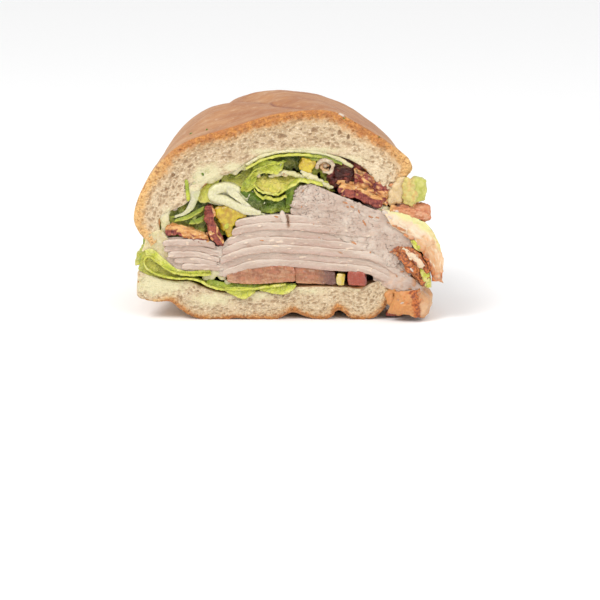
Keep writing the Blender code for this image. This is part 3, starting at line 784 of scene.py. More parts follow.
def roastFinish():
    f = Finish("roast_turkey", Roughness=0.4, Subsurface_Weight=0.2, Subsurface_Scale=0.003,
               Subsurface_Radius=(1.0, 0.5, 0.3), Specular_IOR_Level=0.35, Coat_Weight=0.1,
               Coat_Roughness=0.25)
    fine = f.noise((0.8, 1.2, 0.8), 4)
    f.body = f.blend(f.noise((5.0, 7.0, 5.0)), 0.35, 0.65, (0.53, 0.30, 0.15), (0.64, 0.44, 0.27))
    f.coat((0.72, 0.58, 0.40), 0.4, fine, 0.55, 0.75)
    f.coat(f.mix(fine, (0.40, 0.135, 0.030), (0.64, 0.29, 0.085)), 0.85, f.mask("tan"))
    f.coat((0.72, 0.62, 0.46), 0.55, f.mask("stripe"), 0.1, 0.5)
    f.coat((0.58, 0.26, 0.08), 0.5, 0.0 - f.mask("stripe"), 0.15, 0.5)
    f.coat((0.72, 0.60, 0.45), 0.6, f.mask("white") + 0.4 * (fine - 0.5), 0.2, 0.8)
    spice = f.blend(fine, 0.38, 0.62, (0.17, 0.026, 0.005), (0.50, 0.135, 0.022))
    f.coat(spice, 0.92, f.mask("browned") + 0.5 * (fine - 0.5), 0.25, 0.75)
    sauce = f.mix(fine, (0.52, 0.51, 0.21), (0.68, 0.65, 0.40))
    f.coat(sauce, 0.75, f.mask("sauce") + 0.6 * (fine - 0.5), 0.3, 0.8)
    f.coat((0.58, 0.60, 0.22), 0.7, f.mask("green") + 0.3 * (fine - 0.5), 0.3, 0.8)
    return f.done(fine, 0.3, 0.3 + 0.3 * fine)


# Bacon: crisp rashers, dark lean meat with bands of golden fat. The band is where fat shows, counted
# from the middle line upwards, and lean is how rare fat is elsewhere.
bacon = {
    "bacon_left_flat": {"band": (-0.4, 0.8), "lean": 0.3, "charred": 0.3},
    "bacon_left_upright": {"band": (0.9, 1.5), "lean": 0.75, "charred": 0.3},
    "bacon_dark": {"band": (1.6, 2.8), "lean": 1.1, "charred": 0.98},
    "bacon_lining": {"band": (-0.3, 0.9), "lean": 0.25, "charred": 0.35},
    "bacon_strip": {"band": (0.3, 1.2), "lean": 0.55, "charred": 0.3},
    "bacon_tip": {"band": (-1.2, 0.4), "lean": 0.45, "charred": 0.0},
    "bacon_curl": {"band": (-3.0, -2.0), "lean": 0.0, "charred": 0.1},
}


def rasher(node, finish):
    look = bacon[node]
    upright = "upright" in node

    def shape(points, normals, front):
        x, y, z = points.T
        near = sliceFront(points, front)
        if upright:    # it leans over and slumps
            down = rise(z, 36.0, -9.0)
            x += 0.35 * np.sin((z - 28.0) * 1.3) + 0.9 * down
            z -= 1.6 * down - 0.8 * rise(z, 38.0, 3.0)
        above = offsetAcross(points, upright)
        seed = len(node)
        lengthwise = (0, 1, 1) if upright else (1, 1, 0)
        crinkle = 0.34 * grain(points, (2.0, 3.5, 2.0), seed=seed + 31)
        crinkle += 0.2 * grain(points, (0.8, 1.6, 0.8), seed=seed + 32, octaves=2)
        crinkle += 0.35 * grain(points * lengthwise, 2.6, seed=seed + 30)
        points += normals * crinkle[:, None]
        bend = 0.9 * grain(points * lengthwise, 4.2, seed=seed + 38)
        bend += 0.4 * grain(points * lengthwise, 1.7, seed=seed + 39)
        points[:, 0 if upright else 2] += bend
        if node == "bacon_left_flat":    # it slopes down to the upright one
            right = rise(x, -40.0, 11.0)
            z -= 0.7 + 3.4 * right
            x += 4.4 * right - 0.8 * (1.0 - right)
        y += near * 0.45 * grain(points, (0.8, 1.0, 0.6), seed=seed + 33, octaves=3)
        wander = 0.6 * grain(points, (4.0, 9.0, 4.0), seed=seed + 34)
        wander += 0.2 * grain(points, 1.2, seed=seed + 37)
        low, high = look["band"]
        patch = grain(points, (2.6, 5.0, 2.0), seed=seed + 35, octaves=2)
        fat = np.maximum(rise(above + wander, low, high - low), rise(patch - look["lean"], -0.25, 0.3))
        burnt = rise(look["charred"] * 1.6 + 0.9 * grain(points, 1.8, seed=36, octaves=2), 0.55)
        fresh = (node == "bacon_tip") * rise(x, 36.0, 3.0) * (1.0 - 0.8 * rise(y + 3.0 * patch, 1.0, 6.0))
        return {"fat": fat, "charred": burnt, "fresh": fresh, "pale": 0.4 * (node == "bacon_curl")}

    return dressed(node, "_rasher", finish, 2 if node == "bacon_curl" else 3, shape, crisp=0.25)


def baconFinish():
    f = Finish("bacon", Roughness=0.35, Subsurface_Weight=0.08, Subsurface_Scale=0.0015,
               Coat_Weight=0.04, Coat_Roughness=0.2, Specular_IOR_Level=0.2)
    streak = f.between(f.noise((3.5, 7.0, 0.9)), 0.3, 0.7)
    fine = f.noise((1.1, 1.8, 1.1))
    ticks = f.noise((0.6, 5.0, 2.6), 2)
    lean = f.mix(streak, (0.13, 0.024, 0.022), (0.34, 0.085, 0.055))
    lean = f.mix(f.between(ticks, 0.5, 0.68) * 0.6, lean, (0.075, 0.018, 0.03))
    lean = f.mix(f.between(ticks, 0.45, 0.3) * 0.4, lean, (0.42, 0.16, 0.11))
    fat = f.mix(streak, (0.42, 0.155, 0.042), (0.66, 0.38, 0.145))
    fat = f.mix(f.between(fine, 0.5, 0.75) * 0.5, fat, (0.70, 0.50, 0.29))
    fat = f.mix(f.between(f.noise((1.3, 2.0, 1.3), 2), 0.64, 0.7) * 0.7, fat, (0.76, 0.66, 0.50))
    f.body = f.blend(f.mask("fat") + 0.5 * f.mask("stripe") + 0.5 * (fine - 0.5), 0.25, 0.75, lean, fat)
    grey = f.mix(streak, (0.38, 0.28, 0.18), (0.62, 0.56, 0.40))
    f.coat(f.blend(fine, 0.45, 0.7, grey, (0.70, 0.66, 0.48)), 0.85, f.mask("pale"))
    pink = f.mix(fine, (0.42, 0.125, 0.06), (0.62, 0.29, 0.15))
    pink = f.mix(f.between(f.noise((3.4, 4.0, 2.2)), 0.5, 0.66) * 0.6, pink, (0.68, 0.40, 0.26))
    pink = f.mix(f.between(f.noise((1.6, 2.0, 1.2)), 0.62, 0.7) * 0.6, pink, (0.44, 0.11, 0.05))
    f.coat(pink, 0.85, f.mask("fresh"))
    f.coat((0.022, 0.007, 0.004), 0.88, f.mask("charred") + 0.6 * (fine - 0.5), 0.35, 0.95)
    return f.done(fine + 0.5 * ticks, 0.28, 0.24 + 0.3 * fine)


# Lettuce: tone runs from 0, deep green, to 1, pale yellow green. The rest is how far the leaf's edge
# frills, thickens upwards, waves and lifts.
lettuce = {
    "lettuce_lining": {"tone": 0.72, "frill": 0.5, "raise": 0.3},
    "lettuce_ruffle": {"tone": 0.58, "frill": 0.75, "wave": 0.5},
    "lettuce_cup": {"tone": 0.78, "frill": 0.5, "raise": 0.5, "wave": 0.7, "lift": 1.0},
    "lettuce_cup_under": {"tone": 0.66, "frill": 0.8, "raise": 0.8, "wave": 1.2, "lift": 0.9},
    "lettuce_shade": {"tone": 0.22, "frill": 0.5},
    "lettuce_behind_rib": {"tone": 0.45, "frill": 0.4},
    "lettuce_left": {"tone": 0.35, "frill": 0.4},
    "lettuce_left_shade": {"tone": 0.2, "frill": 0.4},
    "lettuce_folded": {"tone": 0.7, "frill": 0.6, "raise": 0.3},
}


def leafStrip(node, finish):
    look = lettuce[node]

    def shape(points, normals, front):
        x, y, z = points.T
        upward = np.clip(normals[:, 2], 0.0, 1.0)
        near = np.exp(-np.clip(y - front, 0.0, None) / 3.5)
        flat = (1.0 - np.abs(normals[:, 1]))[:, None]
        frill = look["frill"] * near * grain(points, (1.7, 12.0, 1.7), seed=41)
        frill += 0.12 * grain(points, (1.0, 2.0, 1.0), seed=42)
        # Both sides of the leaf move the same way, so the frill follows one direction.
        side = np.sign(normals[:, 2] + 1e-6)[:, None]
        points += normals * side * flat * frill[:, None]
        points -= normals * flat * (0.26 * near)[:, None]
        y += 0.9 * near * grain(points * (1, 0, 1), 1.6, seed=43, octaves=2)
        z += look.get("raise", 0.0) * upward
        across = points * (1, 0, 0)
        wave = grain(across, 2.9, seed=48) + 0.5 * grain(across, 1.3, seed=49)
        z += look.get("wave", 0.0) * near * wave
        z += look.get("lift", 0.0) * near * (1.0 - 1.6 * rise(x, -3.0, 5.0))
        if node == "lettuce_ruffle":
            x -= 2.6 * near * rise(x, -4.0, 4.0)
        if node == "lettuce_folded":    # its left side hangs out of the roll in ruffles
            out = rise(x, -43.0, -7.0) * rise(y, front + 0.5, 4.0)
            lengthwise = points * (0, 1, 0)
            x -= out * (1.0 + 1.6 * grain(lengthwise, 3.6, seed=45) + 0.7 * grain(lengthwise, 1.5, seed=46))
            z += out * 2.2 * grain(lengthwise, 3.2, seed=47)
            np.maximum(x, -56.6, out=x)
        # The cut edge is painted lighter and yellower, partly the leaf's own paler rim and partly painted
        # highlight.
        edge = np.exp(-np.clip(y - front - 0.3, 0.0, None) / 1.3)
        tone = look["tone"] + 0.14 * (edge - 0.3) + 0.16 * grain(points, 4.0, seed=44, octaves=2)
        # painted shade: darker further back in the roll
        tone -= 0.25 * rise(y, front + 1.0, 8.0)
        if node == "lettuce_lining":
            tone -= 0.5 * rise(x, 6.6, 2.0)
            z -= 1.3 * near * rise(x, 12.5, 4.5) * upward
        return {"tone": tone, "yellow": 0.35 * edge}

    return dressed(node, "_leaf", finish, 3, shape)


def lettuceFinish():
    f = Finish("lettuce", Roughness=0.38, Subsurface_Weight=0.25, Subsurface_Scale=0.0012,
               Subsurface_Radius=(0.8, 1.0, 0.25), Specular_IOR_Level=0.25, Coat_Weight=0.05,
               Coat_Roughness=0.15)
    fine = f.noise(0.6)
    swirl = f.node("ShaderNodeTexNoise", {}, {"Vector": f.stretched(2.5), "Scale": 1.0}, "Color")
    bent = f.node("ShaderNodeVectorMath", {"operation": "MULTIPLY_ADD"},
                  {0: swirl, 1: (1.6, 1.6, 1.6), 2: f.stretched((3.4, 4.0, 3.4))})
    veins = f.node("ShaderNodeTexVoronoi", {"feature": "DISTANCE_TO_EDGE"}, {"Vector": bent, "Scale": 1.0},
                   "Distance")
    vein = f.between(veins, 0.1, 0.0)
    level = f.mask("tone") + 0.34 * (f.noise((3.0, 4.0, 3.0)) - 0.5) + 0.14 * (fine - 0.5)
    stops = [(0.0, (0.030, 0.058, 0.004)), (0.25, (0.10, 0.17, 0.010)), (0.5, (0.26, 0.32, 0.034)),
             (0.75, (0.44, 0.48, 0.048)), (1.0, (0.64, 0.61, 0.26))]
    f.body = f.node("ShaderNodeValToRGB", {"stops": stops}, {"Fac": level}, "Color")
    f.coat((0.56, 0.47, 0.10), 1.0, f.mask("yellow"))
    f.coat((0.68, 0.68, 0.32), 0.16, vein)
    return f.done(fine + vein, 0.2, 0.28 + 0.25 * fine)


# Faces that show between the strips, each spanned from a lower to an upper rim. The marks give each
# mask its middle value, how much it varies, what its free lower rim adds, how much more it is for each
# millimetre above a height, that height, and what its upper rim adds.
# Their free lower rims are painted lighter and yellower, partly the leaf's paler rim and partly painted
# highlight.
def leafMarks(tone, yellow=0.0):
    return {"tone": (tone, 0.14, 0.18), "yellow": (yellow, 0.0, 0.2)}


sheets = {
    "leaf_cup_face": {
        "lower": [(-12.6, -0.6, 49.4), (-9.8, -1, 47.5), (-6.6, -1, 46.4), (-3, -0.6, 46.9),
                  (0.2, 0.4, 49), (2.8, 0.8, 50.2)],
        "upper": [(-13, 4.5, 52.4), (-10, 5.5, 54), (-6, 5.5, 54.4), (-2, 5.5, 54), (1, 5, 53.6),
                  (3.6, 4, 53)],
        "marks": {"tone": (0.68, 0.3, 0.05), "yellow": (0.75, 0.4, 0)}, "crumple": 0.8},
    "leaf_ruffle_face": {
        "lower": [(-14.6, 1.6, 50.4), (-11.5, 0.6, 52.6), (-8, 0.2, 53.2), (-4.8, 0, 53),
                  (-2.6, 0.4, 54.6)],
        "upper": [(-12.6, 2, 56.4), (-10, 1.6, 57.6), (-7, 1.2, 57.8), (-4, 0.8, 57.4), (-2, 0.6, 58.2)],
        "marks": leafMarks(0.62, 0.1), "crumple": 0.8},
    # painted shade: a leaf toned almost black, standing for the dark hollow under the lining
    "leaf_under_lining": {
        "lower": [(-11, 3, 52), (-6, 3, 52), (0, 3, 52), (6, 3, 53)],
        "upper": [(-11, 3.4, 58.6), (-6, 3.4, 60.4), (0, 3.4, 61), (6, 3.4, 61)],
        "marks": {"tone": (-0.05, 0.2, 0), "yellow": (0.14, 0.3, 0)}, "crumple": 1.1},
    "leaf_olive": {
        "lower": [(-24.6, 2, 47.6), (-20, 2.6, 47.8), (-16, 2.4, 48.4), (-13.4, 2, 48.6)],
        "upper": [(-24.6, 3, 52.4), (-20, 4, 54.6), (-16, 4, 55.6), (-13, 4, 56.6)],
        "marks": leafMarks(0.34, 0.42), "crumple": 0.8},
    "leaf_green_left": {
        "lower": [(-17.8, 0.8, 43.6), (-15.4, -0.2, 41.2), (-12.2, -0.4, 40.6), (-9.2, 0.4, 41.6)],
        "upper": [(-18.8, 3, 47.6), (-15.6, 3, 48.6), (-12, 2.4, 47.4), (-8.8, 1.8, 45.8)],
        "marks": {"tone": (0.12, 0.14, 0.05, 0.07, 44.5), "yellow": (0, 0, 0.1)}, "crumple": 0.9},
    "leaf_green_middle": {
        "lower": [(-12, 1.2, 38.8), (-6.4, 0.8, 38.8), (-3, 1.2, 39.2), (0.8, 2, 39)],
        "upper": [(-9.8, 2.8, 45), (-6.4, 2.6, 43.8), (-2.8, 2.8, 44.4), (1.6, 2.6, 47.6)],
        "marks": leafMarks(0.16), "crumple": 1},
    "leaf_green_right": {
        "lower": [(-1.2, 0.8, 40.4), (0.6, 0.2, 41.2), (2.4, 1, 42.2)],
        "upper": [(-1.6, 1.4, 47), (0.6, 1, 50.2), (3.4, 1.8, 50.2)],
        "marks": {"tone": (0.26, 0.16, 0.1, 0.035, 45), "yellow": (0, 0, 0.1)}, "crumple": 0.5},
    "leaf_beside_cup": {
        "lower": [(-17.9, 1.2, 46.8), (-15.2, 0.8, 46.4), (-12.4, 0.4, 48)],
        "upper": [(-16.8, 1.6, 49.8), (-14.2, 1.2, 52.8), (-11.6, 1, 54.8)],
        "marks": leafMarks(0.52, 0.1), "crumple": 0.7},
    "leaf_beside_rib": {
        "lower": [(-33.6, 1.4, 43.4), (-30.6, 0.8, 42.6), (-27.6, 1, 43)],
        "upper": [(-31, 3, 50), (-28, 2, 50.6), (-25.2, 2, 50.8)],
        "marks": leafMarks(0.72, 0.3), "crumple": 0.5},
    "rib_drape": {
        "lower": [(-41.2, 0.6, 37.2), (-37.4, 0, 38.4), (-34.6, -0.2, 40.6), (-33, 0, 43.6),
                  (-32, 0.6, 46.6)],
        "upper": [(-41.3, 0.8, 37.9), (-37.8, 0.4, 39.6), (-35.8, 0.2, 43.6), (-36, 0.4, 47.6),
                  (-35.4, 0.8, 50.6)],
        "slot": "romaine_rib", "marks": {"green": (0.35, 0.4, 0.3)}, "crumple": 0.25},
    # partly painted shade: a leaf toned near black for the shaded recess
    "leaf_dark_left": {
        "lower": [(-44, 2, 36), (-38, 1.2, 35.2), (-33, 1.4, 35), (-29.4, 2, 35.6)],
        "upper": [(-43.6, 2.6, 39.4), (-38, 2.6, 42), (-33.4, 2.6, 44.6), (-29, 2.6, 44.6)],
        "marks": {"tone": (0.02, 0.3, 0.1), "yellow": (0.15, 0.3, 0)}, "crumple": 0.8},
    "leaf_top_dark": {
        "lower": [(5, 1.2, 58.4), (9, 0.4, 57.8), (13, 0.4, 57.8), (18.6, 0.8, 56.2)],
        "upper": [(5, 1.6, 60.2), (9, 0.6, 60.2), (13, 0.6, 59.8), (18.6, 1, 58.2)],
        "marks": leafMarks(0.34), "crumple": 0.4},
    # partly painted shade: a leaf toned near black for the shaded recess
    "leaf_back_left": {
        "lower": [(-46.5, 4.4, 30), (-38, 4.4, 32), (-30, 4.4, 33), (-20, 4.4, 34)],
        "upper": [(-47, 4.4, 38), (-38, 4.8, 44), (-30, 4.8, 50), (-20, 4.8, 55)],
        "marks": leafMarks(0.1, 0.3), "crumple": 1.3},
    "leaf_left_streak": {
        "lower": [(-41.4, 0.6, 35.8), (-37.6, 0.2, 36.4), (-34, 0.4, 38), (-31, 0.8, 39.8)],
        "upper": [(-41, 0.8, 36.6), (-37, 0.5, 38.2), (-33.8, 0.6, 39.8), (-30.6, 1, 41.4)],
        "marks": leafMarks(0.42, 0.1), "crumple": 0.4},
    "leaf_left_streak_low": {
        "lower": [(-36.4, 0.8, 34.8), (-33.6, 0.5, 35), (-31, 0.8, 35.6)],
        "upper": [(-35.6, 1, 36.2), (-32.8, 0.8, 37), (-30.4, 1, 38.2)],
        "marks": leafMarks(0.3, 0.1), "crumple": 0.5},
    "leaf_back_middle": {
        "lower": [(-22, 4.6, 36), (-12, 4.6, 36), (0, 4.6, 38), (8, 4.6, 44)],
        "upper": [(-22, 4.6, 54), (-12, 5, 59), (0, 5, 61), (8, 5, 61)],
        "marks": leafMarks(0.34, 0.2), "crumple": 1.3},
    "leaf_back_right": {
        "lower": [(6, 4, 48), (11, 4, 47), (16, 4, 46)],
        "upper": [(6, 4, 61), (11, 4, 61), (16, 4, 60)],
        "marks": leafMarks(0.4, 0.2), "crumple": 1.2},
    "leaf_droop_left": {
        "lower": [(-23.4, -0.6, 10.8), (-19.6, -1, 8.8), (-16.2, -1.1, 8), (-12.8, -0.8, 10.2)],
        "upper": [(-23.4, 0.3, 12), (-19, -0.2, 12.2), (-15.6, -0.2, 12), (-12, 0.2, 11.8)],
        "marks": leafMarks(0.66, 0.2), "crumple": 0.3},
    "leaf_droop_right": {
        "lower": [(-10.8, -0.7, 11), (-6.4, -1, 10), (-2.2, -1, 9.6), (1.2, -0.7, 11.2)],
        "upper": [(-11, 0.3, 12.2), (-6.4, -0.1, 12.4), (-2.4, -0.1, 12.6), (2.4, 0.2, 12.8)],
        "marks": leafMarks(0.66, 0.2), "crumple": 0.25},
    "leaf_sliver": {
        "lower": [(-36.8, 0, 43.8), (-36.3, -0.2, 43.4), (-35.9, 0.1, 44.4)],
        "upper": [(-37.3, 0.3, 50.4), (-37, 0, 51.2), (-36.6, 0.3, 50.2)],
        "marks": leafMarks(0.5), "crumple": 0.2},
    "leaf_lower_face": {
        "lower": [(-30, 0.8, 12), (-24, 0.6, 11.2), (-12, 0.4, 11), (2, 0.6, 12.2)],
        "upper": [(-30, 1.4, 15.6), (-24, 1.4, 13.6), (-12, 1.2, 12.8), (2, 1.2, 13.2)],
        "marks": leafMarks(0.5, 0), "crumple": 0.5},
    # partly painted shade: a leaf toned near black for the shaded recess
    "leaf_dark_low": {
        "lower": [(-47, 2.4, 27), (-38, 2, 29), (-30, 2.4, 29), (-19, 2.6, 32)],
        "upper": [(-47, 2.4, 37), (-38, 2.4, 38), (-30, 2.8, 41), (-16, 3.2, 42)],
        "marks": {"tone": (0.04, 0.25, 0.1), "yellow": (0.2, 0.3, 0)}, "crumple": 0.9},
    "leaf_side_frill": {
        "lower": [(-55.6, 1, 20.6), (-56, 8, 19.4), (-56, 18, 20.4), (-55.8, 28, 20), (-55, 38, 20.8),
                  (-53.6, 47, 20.4), (-50, 55, 20.8)],
        "upper": [(-48, 1, 21.4), (-48, 8, 21.4), (-48, 18, 21.4), (-48, 28, 21.4), (-47.5, 38, 21.4),
                  (-46.5, 47, 21.4), (-44, 54, 21.4)],
        "marks": leafMarks(0.62, 0.1), "crumple": 0, "ruffle": 1.7},
    # Darker at its upper rim, painted shade under the fold's rim.
    "leaf_fold_face": {
        "lower": [(-54.6, 0.2, 18.6), (-51, 0.4, 16.4), (-46, 1.2, 15.2), (-40, 1.6, 14.6),
                  (-34, 1.6, 14.4)],
        "upper": [(-52.6, 0.8, 25.2), (-49.7, 0, 25.4), (-45.5, 1, 21.6), (-40.2, 1.2, 18.4),
                  (-34, 1.2, 17.4)],
        "marks": {"tone": (0.46, 0.14, 0.05, 0.045, 20, -0.25), "yellow": (0.5, 0.2, 0)}, "crumple": 0.5},
    "leaf_fold_rim": {
        "lower": [(-51.6, -0.3, 23.4), (-49.3, -0.5, 22.6), (-46.4, -0.4, 20), (-42, -0.2, 17.4),
                  (-37.4, 0, 16.5), (-32.4, 0.1, 16.7), (-28.4, 0.2, 16.9)],
        "upper": [(-52, -0.2, 25.6), (-49.4, -0.4, 26), (-45.6, -0.3, 22.8), (-41, -0.2, 19),
                  (-36.8, 0, 17.9), (-32.6, 0, 18.2), (-28.8, 0, 18.8)],
        "marks": {"tone": (0.76, 0.2, 0.05, 0, 0, 0.12), "yellow": (0.15, 0.2, 0.1)}, "crumple": 0.4,
        "thick": 0.5},
    "leaf_right_bit": {
        "lower": [(43, -3.2, 29.6), (44.6, -3.8, 26.8), (46.6, -3.4, 25.4)],
        "upper": [(44.6, -2.6, 31), (46.6, -3, 29), (47.6, -2.6, 26.6)],
        "marks": leafMarks(0.7, 0.45), "crumple": 0.3},
    "leaf_right_low": {
        "lower": [(46.7, -2.6, 19.8), (47.6, -3.3, 16.6), (48.4, -3.2, 13.4), (49.4, -2.4, 12)],
        "upper": [(48.6, -1.2, 21), (50, -1.8, 18.4), (50.7, -1.8, 14.8), (50.8, -1.6, 12.2)],
        "marks": {"tone": (0.9, 0.4, 0, -0.04, 17), "yellow": (0.3, 0.3, 0)}, "crumple": 0.7,
        "thick": 0.8},
    "bacon_behind": {
        "lower": [(13, 2.6, 49), (19, 2.2, 47), (27, 2.2, 44), (37, 2.6, 39)],
        "upper": [(14, 2.6, 58.6), (19, 2.2, 58.6), (27, 2.2, 54.6), (38, 2.6, 46)],
        "slot": "bacon", "marks": {"fat": (0.2, 0.6, 0), "charred": (0.75, 0.5, 0)}, "crumple": 1.2},
    "bacon_behind_right": {
        "lower": [(23, 1.4, 48), (28, 1, 45.4), (33, 1, 42.6), (38, 1.4, 39.6)],
        "upper": [(23, 1.6, 55.2), (28, 1.2, 53), (33, 1.2, 49.6), (38.4, 1.4, 44.6)],
        "slot": "bacon", "marks": {"fat": (0.5, 0.8, 0), "charred": (0.25, 0.8, 0)}, "crumple": 1.6,
        "thick": 0.8},
    "bacon_over_strip": {
        "lower": [(16.6, 0.4, 49.4), (22, 0, 48), (28, 0, 45.4), (34.8, 0.2, 41.8)],
        "upper": [(17.4, 1.2, 50.8), (22, 1, 50.2), (28, 1, 48.2), (35.4, 1, 45.4)],
        "slot": "bacon", "marks": {"fat": (0.7, 0.6, 0), "charred": (0.1, 0.3, 0)}, "crumple": 1.2,
        "thick": 1},
    # The turkey faces here are painted paler with the slices' edge highlight colour; turkey_behind, which
    # lies in shade, is lifted well by this painted light.
    "turkey_behind": {
        "lower": [(-31, 2, 16), (-28, 1.2, 16), (-25, 0.6, 16), (-21, 1.2, 16)],
        "upper": [(-31, 1.6, 28), (-28, 1, 27.4), (-25, 0.5, 27), (-21, 1, 31)],
        "slot": "turkey", "marks": {"edge": (0.4, 0.5, 0)}, "crumple": 0.5},
    "turkey_side_face": {
        "lower": [(-45.4, 1.6, 24.2), (-42.6, 1.4, 19.6), (-38, 1.4, 17.2), (-31, 1.4, 17.4),
                  (-25.4, 1.6, 18)],
        "upper": [(-45.6, 1.4, 29.6), (-41.4, 1.2, 30.2), (-36, 1.2, 30), (-30.4, 1.2, 28.4),
                  (-25.2, 1.4, 25.8)],
        "slot": "turkey", "marks": {"edge": (0.1, 0.4, 0)}, "crumple": 0.3, "thick": 0.8},
    "turkey_lower_face": {
        "lower": [(30, 1.2, 14.2), (36, -0.6, 11.4), (42, -1.6, 10.2), (47.4, -1.4, 10.8)],
        "upper": [(29, 1.4, 22), (36, -0.2, 22.4), (41.4, -1.2, 17.9), (47.2, -1.4, 12.6)],
        "slot": "turkey", "marks": {"edge": (0.1, 0.4, 0.2), "browned": (0.1, 0.5, 0)}, "crumple": 0.5,
        "thick": 1.4},
    "roast_outer_face": {
        "lower": [(32.4, -0.9, 40.2), (37.8, -1.6, 33.8), (42.8, -2, 29.9), (46.1, -2.2, 27),
                  (49, -2.2, 21), (51.4, -2, 15)],
        "upper": [(37.6, -0.6, 38.8), (45, -1.2, 37.4), (50.2, -1.6, 34), (53, -1.8, 28.6),
                  (54.6, -2, 21.6), (54.6, -2, 14.2)],
        "slot": "roast_turkey", "thick": 1.6, "crumple": 0.5,
        "marks": {"browned": (-0.05, 0.4, 0.75, -0.05, 24, 0.15), "sauce": (0.1, 0.3, 0, 0.07, 36),
                  "white": (0.55, 0.5, -0.3, 0.07, 29, -0.3), "green": (-0.15, 0.3, 0, 0.05, 28, 0.75)}},
    "roast_browned_face": {
        "lower": [(36.4, -0.7, 25.6), (40.6, -1.2, 21), (44.2, -1.4, 16.4), (47.2, -1.4, 12.8)],
        "upper": [(38.6, -0.8, 27.4), (44.8, -1.4, 26.2), (48.8, -1.6, 21.6), (50.4, -1.6, 15.6)],
        "slot": "roast_turkey", "thick": 1.4, "crumple": 0.9,
        "marks": {"browned": (0.85, 0.5, 0.2), "sauce": (0, 0, 0)}},
    "roast_white_bit": {
        "lower": [(39.6, -2.2, 25.8), (41.6, -3, 24), (44, -3.5, 21.6), (47.4, -3, 19.4)],
        "upper": [(40.4, -2.2, 26.9), (43.2, -2.8, 25.7), (45.9, -3.1, 23.6), (48.2, -2.9, 20.6)],
        "slot": "roast_turkey", "thick": 0.6, "crumple": 1.3,
        "marks": {"white": (1.2, 0.3, 0), "browned": (-0.5, 1.3, 1.3, -0.06, 22.8)}},
    "turkey_mass_face": {
        "lower": [(0.4, 0.7, 41.4), (5.4, 0.4, 37.4), (10.8, 0.35, 33.8), (17, 0.35, 30.2),
                  (25, 0.3, 26.4), (32.6, 0.1, 20.8), (37.6, -0.7, 19.4)],
        "upper": [(2.2, 0.2, 47.6), (7.2, -0.2, 49.6), (13, -0.3, 47.4), (20, -0.5, 44.6),
                  (28, -0.8, 41.4), (37.8, -1.3, 37.2), (44.6, -1.6, 28)],
        "slot": "turkey", "marks": {"edge": (0.45, 0.5, 0), "browned": (-0.3, 0.5, 0)}, "crumple": 0.35,
        "pitted": 1.1, "thick": 0.7},
    "wall_left_low": {
        "lower": [(-53, 1.6, 25.2), (-49.6, 1.4, 22.2), (-45.4, 1.8, 19), (-41, 2.2, 16.8)],
        "upper": [(-51.6, 1.2, 30), (-48.4, 0.9, 32.4), (-45.6, 0.9, 32.4), (-43, 1.4, 28)],
        "slot": "roll", "marks": {"tan": (0.35, 0.5, 0)}, "crumple": 0.4, "thick": 0.8},
    "rib_tail": {
        "lower": [(-20, 0.5, 39.4), (-15, 0.1, 38.4), (-9.2, 0.4, 37.6)],
        "upper": [(-20.5, 0.5, 42.4), (-14.5, 0.2, 40.6), (-8.8, 0.4, 38.5)],
        "slot": "romaine_rib", "marks": {"green": (0.3, 0.4, 0.2)}, "crumple": 0.25, "thick": 0.7},
    "rib_fold": {
        "lower": [(-29.2, 0.8, 42.6), (-24.4, 0.4, 41.6), (-19, 0.3, 40.8), (-14.5, 0.4, 39.8)],
        "upper": [(-28.8, 1, 47.4), (-24, 0.8, 49.4), (-20, 0.6, 48.2), (-15, 0.8, 43.6)],
        "slot": "romaine_rib", "marks": {"green": (0.75, 0.4, 0)}, "crumple": 0.3, "thick": 0.6},
    "rib_shoulder": {
        "lower": [(-22.4, -0.6, 46.2), (-20.2, -0.5, 44.6), (-18.2, -0.2, 43), (-15, 0.3, 41)],
        "upper": [(-22.2, -0.4, 49.2), (-19.6, -0.3, 47.4), (-17.4, 0, 44.8), (-14.2, 0.4, 41.8)],
        "slot": "romaine_rib", "marks": {"green": (0.05, 0.3, 0)}, "crumple": 0.25, "thick": 1.3},
}


def smoothLine(guides, spots):  # a smooth open curve through guide points, read at 0 to 1
    guides = np.asarray(guides, float)
    padded = np.vstack([2 * guides[0] - guides[1], guides, 2 * guides[-1] - guides[-2]])
    at = np.clip(spots, 0.0, 1.0) * (len(guides) - 1)
    k = np.minimum(at.astype(int), len(guides) - 2)
    t = (at - k)[:, None]
    a, b, c, d = (padded[k + i] for i in range(4))
    return 0.5 * (2 * b + (c - a) * t + (2 * a - 5 * b + 4 * c - d) * t ** 2
                  + (3 * b - a - 3 * c + d) * t ** 3)


